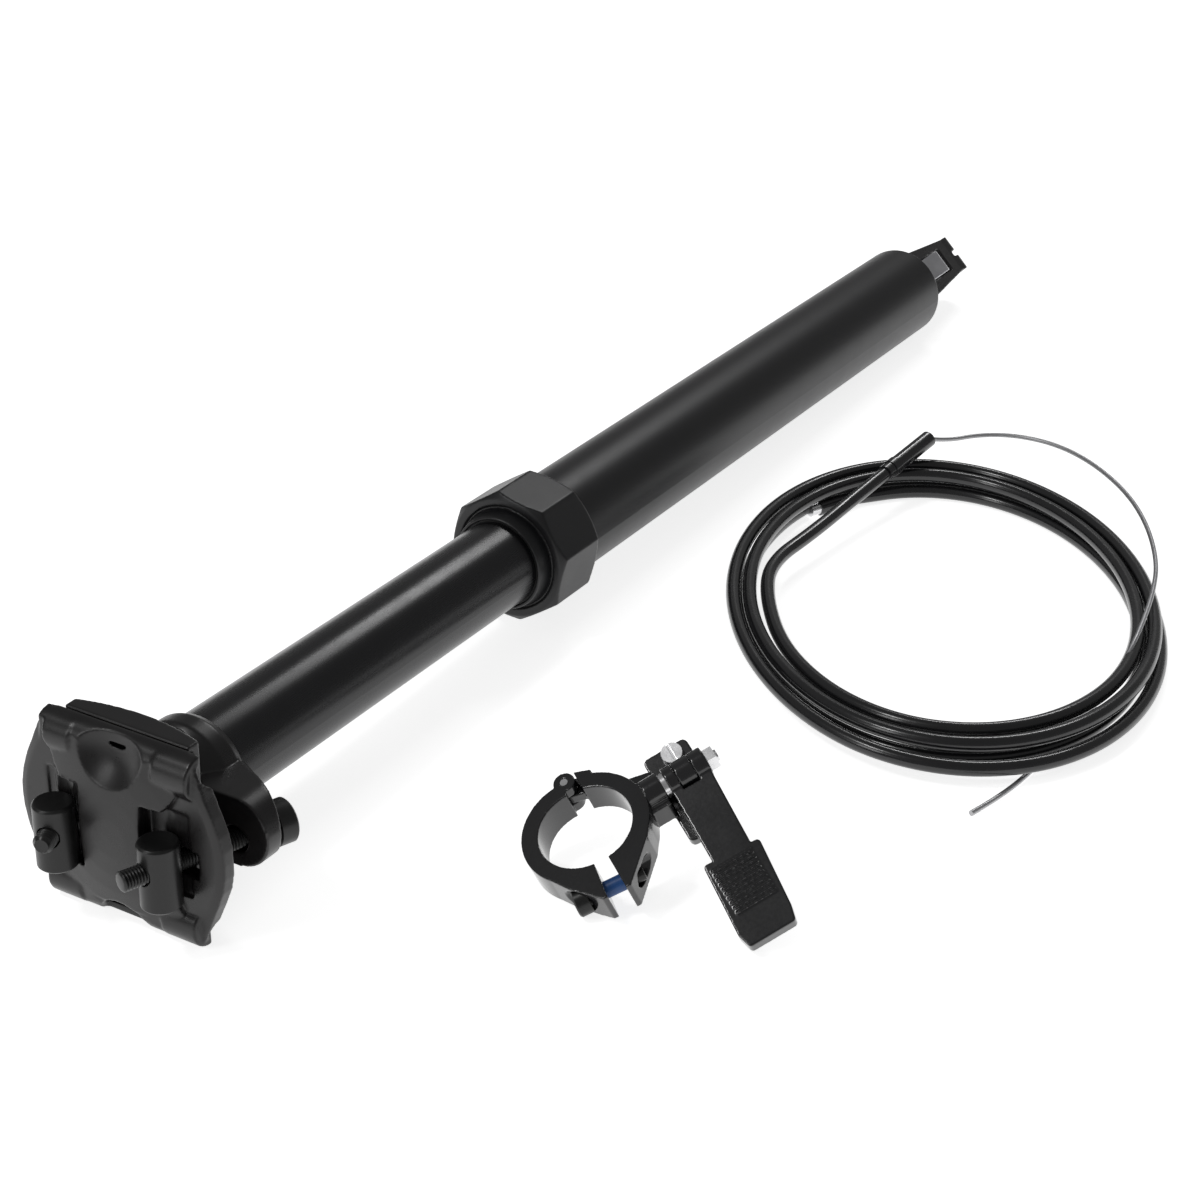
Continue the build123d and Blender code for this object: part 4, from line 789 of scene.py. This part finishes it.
    def cradle(self) -> Solid:
        """Bowed lower plate with rail grooves on a round boss."""
        width = CLAMP_OUTLINE[-1][1]
        reach = CLAMP_OUTLINE[-1][0]
        base = CRADLE_TOP - CRADLE_THICKNESS
        plate = block(HEAD_SIDE, (-reach, base), (reach, CRADLE_TOP), width)
        plate &= disc(HEAD_SIDE, (0, base + CRADLE_BOW), CRADLE_BOW, -width - OVERRUN, width + OVERRUN,
                      BOW_STEPS)
        for side in (1, -1):
            plate -= block(BOLT_SIDE, (SLOT_INNER * side, base - OVERRUN),
                           ((reach + OVERRUN) * side, CRADLE_TOP + OVERRUN), SLOT_HALF_WIDTH)
            plate -= disc(HEAD_FRONT, (RAIL_OFFSET * side, CRADLE_TOP + RAIL_SINK), RAIL_RADIUS,
                          -reach - LONG_OVERRUN, reach + LONG_OVERRUN)
        boss = disc(HEAD_SIDE, (0, CRADLE_STATION), CRADLE_RADIUS - CRADLE_FIT,
                    CRADLE_SIDE_GAP - EAR_HALF_WIDTH, EAR_HALF_WIDTH - CRADLE_SIDE_GAP)
        boss -= block(HEAD_SIDE, (-BOSS_SPAN, base + BOSS_SINK), (BOSS_SPAN, base + HEAD_SPAN), BOSS_SPAN)
        return plate + boss

    def head(self) -> Solid:
        """Socket on the stanchion with two ears, bolt seats and the cradle's seat."""
        corners = [(-EAR_REACH, EAR_TOP), (-EAR_REACH, EAR_TIP), (-EAR_ROOT_REACH, EAR_ROOT),
                   (EAR_ROOT_REACH, EAR_ROOT), (EAR_REACH, EAR_TIP), (EAR_REACH, EAR_TOP)]
        ears = prism(HEAD_SIDE, corners, -EAR_HALF_WIDTH, EAR_HALF_WIDTH)
        round_centre = EAR_REACH - EAR_HALF_WIDTH
        plan = block(HEAD, (-round_centre, -EAR_HALF_WIDTH), (round_centre, EAR_HALF_WIDTH), HEAD_END)
        for side in (1, -1):
            plan += disc(HEAD, (round_centre * side, 0), EAR_HALF_WIDTH, HEAD_START, HEAD_END)
        ears &= plan
        ears += Solid(turned("hub", POST, list(HUB_OUTLINE)).release())
        ears -= disc(HEAD_SIDE, (0, CRADLE_STATION), CRADLE_RADIUS, -HEAD_SPAN, HEAD_SPAN, CRADLE_STEPS)
        ears -= disc(POST, (0, 0), SOCKET_RADIUS, HEAD_START, SOCKET_END)
        for side in (1, -1):
            frame = bolt_frame(side)
            swing = Frame(frame.point(0, 0, -BOLT_GRIP - SEAT_BACK), HEAD.axis(0), -HEAD.axis(1))
            ears -= disc(swing, (0, 0), SEAT_RADIUS, -SEAT_HALF_WIDTH, SEAT_HALF_WIDTH)
            ears -= disc(frame, (0, 0), BOLT_WAY_RADIUS, -BOLT_GRIP - BOLT_WAY_START, -BOLT_WAY_END)
        return ears

    def nut(self, side: int) -> Solid:
        """Barrel nut lying across the post, drilled for its bolt."""
        centre = HEAD.point(NUT_OFFSET * side, -BOLT_DROP - NUT_DROP, NUT_STATION)
        frame = Frame(centre, HEAD.axis(0), -HEAD.axis(1))
        edge = NUT_RADIUS - NUT_EDGE
        outline = [(0, -NUT_HALF_LENGTH), (edge, -NUT_HALF_LENGTH), (NUT_RADIUS, NUT_EDGE - NUT_HALF_LENGTH),
                   (NUT_RADIUS, NUT_HALF_LENGTH - NUT_EDGE), (edge, NUT_HALF_LENGTH), (0, NUT_HALF_LENGTH)]
        barrel = Solid(turned("barrel", frame, outline).release())
        bore = disc(bolt_frame(side), (0, 0), BOLT_RADIUS + NUT_BORE_CLEARANCE, -LONG_OVERRUN, LONG_OVERRUN)
        return barrel - bore

    def bolt(self, side: int) -> Piece:
        """Socket-head clamp bolt with its thread.

        Args:
            side: Side of the head, +1 or -1.

        Returns:
            The bolt's piece.
        """
        tail = BOLT_TAILS[side]
        outline = [(radius, -BOLT_GRIP - back) for radius, back in BOLT_HEAD_OUTLINE]
        outline += [(BOLT_RADIUS, -BOLT_GRIP - BOLT_NECK)]
        station = -BOLT_GRIP + THREAD_START
        root = BOLT_RADIUS - THREAD_DEPTH
        while station < tail - THREAD_PITCH:
            outline += [(root, station), (BOLT_RADIUS, station + THREAD_PITCH * CREST_START_SHARE),
                        (BOLT_RADIUS, station + THREAD_PITCH * CREST_END_SHARE)]
            station += THREAD_PITCH
        outline += [(root, station), (root - BOLT_TIP_CHAMFER, tail), (0, tail)]
        return turned("bolt_shape", bolt_frame(side), outline, BOLT_STEPS)


def build_screw(materials: dict[str, bpy.types.Material]) -> None:
    """Make the remote's socket screw with its blue thread lock."""
    top = -SCREW_SEAT - SCREW_HEAD_LENGTH
    outline = [(0, top + SCREW_SOCKET_DEPTH), (SCREW_SOCKET_RADIUS, top + SCREW_SOCKET_DEPTH),
               (SCREW_SOCKET_RADIUS, top), (SCREW_HEAD_RADIUS - SCREW_EDGE, top),
               (SCREW_HEAD_RADIUS, top + SCREW_EDGE),
               (SCREW_HEAD_RADIUS, -SCREW_SEAT), (SCREW_RADIUS, -SCREW_SEAT), (SCREW_RADIUS, SCREW_REACH),
               (0, SCREW_REACH)]
    screw = turned("screw_shape", SCREW, outline, SCREW_STEPS)
    screw.dress(materials["black_fastener"], "black_fastener").place("strap", "clamp_bolt")
    band = [(SCREW_RADIUS, LOCK_START), (LOCK_RADIUS, LOCK_START), (LOCK_RADIUS, LOCK_END),
            (SCREW_RADIUS, LOCK_END)]
    lock = turned("thread_lock_shape", SCREW, band, SCREW_STEPS)
    lock.object.data.materials.append(materials["blue_thread_lock"])
    lock.place("strap")


def above_floor(points: tuple[tuple[float, float, float], ...]) -> list[Vector]:
    """Row points of a cord's route, given in millimetres with heights above the floor."""
    return [Vector((x, y, height)) * MM - Vector((0, 0, FLOOR_DROP)) for x, y, height in points]


def coil_point(turn: float, turns: float) -> Vector:
    """Point of the coil's centre line after some turns from its hidden start.

    Args:
        turn: Turns from the start.
        turns: Turns in all.

    Returns:
        The row point.
    """
    turns_out = turns * COIL_OUT_SHARE
    layers = COIL_START_SHARE + turns_out - abs(turn - turns_out)
    angle = COIL_START_ANGLE - turn * 360
    bearing = math.radians(angle)
    along = (COIL_INNER_REACH + COIL_REACH_PITCH * layers) * math.cos(bearing)
    across = (COIL_INNER_WIDTH + COIL_WIDTH_PITCH * layers) * math.sin(bearing)
    climb = min(max((turn - turns_out) * 2 + 0.5, 0), 1)
    height = COIL_FLOOR_GAP + HOUSING_RADIUS + COIL_LAYER_RISE * (1 - math.cos(math.pi * climb)) / 2
    off_angle = (angle - COIL_LIFT_ANGLE + 180) % 360 - 180
    if abs(off_angle) < COIL_LIFT_WINDOW:
        height += COIL_LIFT * (1 + math.cos(math.pi * off_angle / COIL_LIFT_WINDOW)) / 2
    centre_x, centre_y = COIL_CENTRE
    return Vector((
        centre_x + along * math.cos(COIL_HEADING) - across * math.sin(COIL_HEADING),
        centre_y + along * math.sin(COIL_HEADING) + across * math.cos(COIL_HEADING),
        height - FLOOR_DROP,
    ))


def route_curve(name: str, points: list[Vector], radius: float) -> bpy.types.Curve:
    """NURBS curve through a cord's route.

    Args:
        name: Curve name.
        points: Control points.
        radius: Radius of the round section, or zero for a bare line.

    Returns:
        The curve.
    """
    curve = bpy.data.curves.new(name, "CURVE")
    curve.dimensions = "3D"
    spline = curve.splines.new("NURBS")
    spline.points.add(len(points) - 1)
    for control, point in zip(spline.points, points):
        control.co = (*point, 1.0)
    spline.order_u = 3
    spline.use_endpoint_u = True
    spline.resolution_u = 12
    curve.resolution_u = 12
    curve.bevel_depth = radius
    curve.bevel_resolution = 6
    curve.use_fill_caps = True
    return curve


def line_points(points: list[Vector]) -> list[Vector]:
    """Points along the NURBS line of a route."""
    line = bpy.data.objects.new("route", route_curve("route", points, 0.0))
    bpy.context.scene.collection.objects.link(line)
    graph = bpy.context.evaluated_depsgraph_get()
    mesh = bpy.data.meshes.new_from_object(line.evaluated_get(graph))
    found = [vertex.co.copy() for vertex in mesh.vertices]
    bpy.data.objects.remove(line)
    return found


def spaced(points: list[Vector], step: float) -> list[Vector]:
    """Evenly spaced points along a run of points."""
    placed = [points[0]]
    due = step
    walked = 0.0
    for start, end in zip(points, points[1:]):
        span = (end - start).length
        while due <= walked + span:
            placed.append(start.lerp(end, (due - walked) / span))
            due += step
        walked += span
    placed.append(points[-1])
    return placed


class Cords:
    """The cable housing and the bare inner wire."""

    def __init__(self, frame: dict, materials: dict[str, bpy.types.Material]) -> None:
        self.nodes = frame["nodes"]
        self.materials = materials

    def build(self) -> None:
        """Make both cords."""
        lead = above_floor(LEAD_POINTS)
        turns = COIL_LOOPS + (COIL_START_ANGLE - COIL_END_ANGLE) / 360
        count = int(turns * COIL_POINTS_PER_TURN)
        coil = [coil_point(turns * index / count, turns) for index in range(count)]
        start_way = (coil[0] - coil[1]).normalized()
        coil_tip = coil[0] + start_way * HOUSING_RADIUS * 2
        route = lead[::-1] + coil[::-1] + [coil_tip]
        housing = Piece("housing_shape", route_curve("housing_shape", route, HOUSING_RADIUS))
        housing.dress(self.materials["housing_plastic"], "housing_plastic")
        housing.place("outer", "cable_housing", "housing_lead")
        sleeve_way = (lead[-1] - lead[-2]).normalized()
        wire_start = lead[-1] + sleeve_way * SLEEVE_LENGTH
        wire = self.stranded_wire([wire_start] + above_floor(WIRE_POINTS))

    def stranded_wire(self, route: list[Vector]) -> Piece:
        """Mesh of the twisted inner wire along its route.

        Args:
            route: Control points of the route.

        Returns:
            The wire's piece.
        """
        path = spaced(line_points(route), 0.5 * MM)
        self.wire_path = path
        sides = WIRE_STRANDS * 2
        work = bmesh.new()
        rings = []
        side = (path[1] - path[0]).cross(Vector((0, 0, 1))).normalized()
        walked = 0.0
        for index, centre in enumerate(path):
            ahead = path[min(index + 1, len(path) - 1)] - path[max(index - 1, 0)]
            ahead.normalize()
            side = (side - ahead * side.dot(ahead)).normalized()
            up = ahead.cross(side)
            twist = walked / WIRE_LAY * math.tau
            ring = []
            for corner in range(sides):
                angle = corner / sides * math.tau + twist
                reach = WIRE_RADIUS * (1.0 if corner % 2 else 0.88)
                ring.append(work.verts.new(centre + (side * math.cos(angle) + up * math.sin(angle)) * reach))
            rings.append(ring)
            if index + 1 < len(path):
                walked += (path[index + 1] - centre).length
        for first, second in zip(rings, rings[1:]):
            for corner in range(sides):
                following = (corner + 1) % sides
                work.faces.new((first[corner], first[following], second[following], second[corner]))
        work.faces.new(rings[0][::-1])
        work.faces.new(rings[-1])
        bmesh.ops.recalc_face_normals(work, faces=work.faces)
        mesh = bpy.data.meshes.new("wire_shape")
        work.to_mesh(mesh)
        work.free()
        mesh.shade_smooth()
        piece = Piece("wire_shape", mesh)
        piece.dress(self.materials["wire_steel"], "wire_steel")
        return piece.place("outer", "inner_wire")


def build_camera() -> None:
    """Place the camera as in the photograph."""
    data = bpy.data.cameras.new("camera")
    data.lens = CAMERA_LENS
    data.sensor_width = CAMERA_SENSOR
    camera = bpy.data.objects.new("camera", data)
    forward = Vector((
        math.cos(CAMERA_ELEVATION) * math.cos(CAMERA_BEARING),
        math.cos(CAMERA_ELEVATION) * math.sin(CAMERA_BEARING),
        -math.sin(CAMERA_ELEVATION),
    ))
    right = forward.cross(Vector((0, 0, 1))).normalized()
    up = right.cross(forward)
    turn = Matrix((right, up, -forward)).transposed().to_4x4()
    camera.matrix_world = Matrix.Translation(CAMERA_PLACE) @ turn
    data.clip_start, data.clip_end = CAMERA_CLIP
    bpy.context.scene.collection.objects.link(camera)
    bpy.context.scene.camera = camera


@dataclass(frozen=True)
class Panel:
    """Soft rectangular light.

    Args:
        name: Light name.
        place: Centre of the panel.
        aim: Point that it faces.
        size: Width and height of the panel.
        power: Power in watts.
    """

    name: str
    place: tuple[float, float, float]
    aim: tuple[float, float, float]
    size: tuple[float, float]
    power: float


PANELS = (
    Panel("strip", (0.98, 0.16, 0.93), (-0.09, 0.0, 0.0), (0.45, 0.12), 2.6),
    Panel("overhead", (-0.66, 0.52, 1.2), (-0.18, 0.0, 0.0), (0.28, 0.22), 3.2),
    Panel("side", (-1.1, 0.5, 0.6), (-0.15, 0.0, 0.0), (0.3, 0.5), 2.0),
)


def build_panel(panel: Panel) -> None:
    """Hang one light."""
    data = bpy.data.lights.new(panel.name, "AREA")
    data.shape = "RECTANGLE"
    data.size, data.size_y = panel.size
    data.energy = panel.power
    light = bpy.data.objects.new(panel.name, data)
    place = Vector(panel.place)
    turn = (Vector(panel.aim) - place).to_track_quat("-Z", "Y")
    light.matrix_world = Matrix.Translation(place) @ turn.to_matrix().to_4x4()
    bpy.context.scene.collection.objects.link(light)


def build_studio() -> None:
    """Make the pale floor, the white surroundings and the soft lights."""
    work = bmesh.new()
    bmesh.ops.create_grid(work, x_segments=1, y_segments=1, size=FLOOR_HALF_WIDTH,
                          matrix=Matrix.Translation((0, 0, -FLOOR_DROP)))
    mesh = bpy.data.meshes.new("floor")
    work.to_mesh(mesh)
    work.free()
    floor = bpy.data.objects.new("floor", mesh)
    bpy.context.scene.collection.objects.link(floor)
    shader = Shader("floor")
    shader.surface.inputs["Base Color"].default_value = (FLOOR_SHADE, FLOOR_SHADE, FLOOR_SHADE, 1.0)
    shader.surface.inputs["Roughness"].default_value = FLOOR_ROUGHNESS
    shader.surface.inputs["Specular IOR Level"].default_value = 0.0
    shader.surface.inputs["Emission Color"].default_value = (1.0, 1.0, 1.0, 1.0)
    shader.surface.inputs["Emission Strength"].default_value = FLOOR_GLOW
    mesh.materials.append(shader.material)

    world = bpy.data.worlds.new("studio")
    world.use_nodes = True
    bpy.context.scene.world = world
    tree = world.node_tree
    background = tree.nodes["Background"]
    path = tree.nodes.new("ShaderNodeLightPath")
    strength = tree.nodes.new("ShaderNodeMix")
    strength.data_type = "FLOAT"
    tree.links.new(path.outputs["Is Camera Ray"], strength.inputs["Factor"])
    strength.inputs["A"].default_value = ROOM_GLOW
    strength.inputs["B"].default_value = BACKDROP_GLOW
    tree.links.new(strength.outputs["Result"], background.inputs["Strength"])
    background.inputs["Color"].default_value = (1.0, 1.0, 1.0, 1.0)

    for panel in PANELS:
        build_panel(panel)
    scene = bpy.context.scene
    scene.view_settings.view_transform = "Standard"


SOFTENED_NODES = {
    "seal_collar": Softening(0.35 * MM, 4),
    "tail_housing": Softening(0.35 * MM, 4),
    "actuator_lever": Softening(0.25 * MM, 4),
    "remote_body": Softening(0.22 * MM, 5),
    "clamp_strap": Softening(0.22 * MM, 5),
    "remote_lever": Softening(0.22 * MM, 5),
}


def dress_nodes(frame: dict, materials: dict[str, bpy.types.Material]) -> None:
    """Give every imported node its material."""
    slots = {entry["node"]: entry["material_slot"] for entry in frame["record"]["subparts"]}
    for name, node in frame["nodes"].items():
        node.data.materials.clear()
        node.data.materials.append(materials[slots[name]])
        node.data.shade_smooth()


def soften_nodes(frame: dict, materials: dict[str, bpy.types.Material]) -> None:
    """Replace the sharp solids with rounded copies."""
    slots = {entry["node"]: entry["material_slot"] for entry in frame["record"]["subparts"]}
    bodies = {node: body for body, nodes in frame["record"]["behaviour"]["bodies"].items() for node in nodes}
    for name, softening in SOFTENED_NODES.items():
        piece = softened(frame["nodes"][name], softening)
        piece.dress(materials[slots[name]], slots[name])
        piece.place(bodies[name], name)
        log.info("%s has %d faces", name, len(piece.object.data.polygons))


def main() -> None:
    """Build the whole scene."""
    logging.basicConfig(level=logging.INFO)
    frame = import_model()
    build_camera()
    finishes = (ANODISED, STANCHION, FORGED, FASTENER, GLOSS, MACHINED, STEEL, WIRE, BRASS, BUSHING, HOUSING,
                RUBBER, THREAD_LOCK)
    materials = {finish.name: make_material(finish) for finish in finishes}
    dress_nodes(frame, materials)
    Cords(frame, materials).build()
    soften_nodes(frame, materials)
    Head(materials).build()
    build_screw(materials)
    build_studio()


if __name__ == "__main__":
    main()
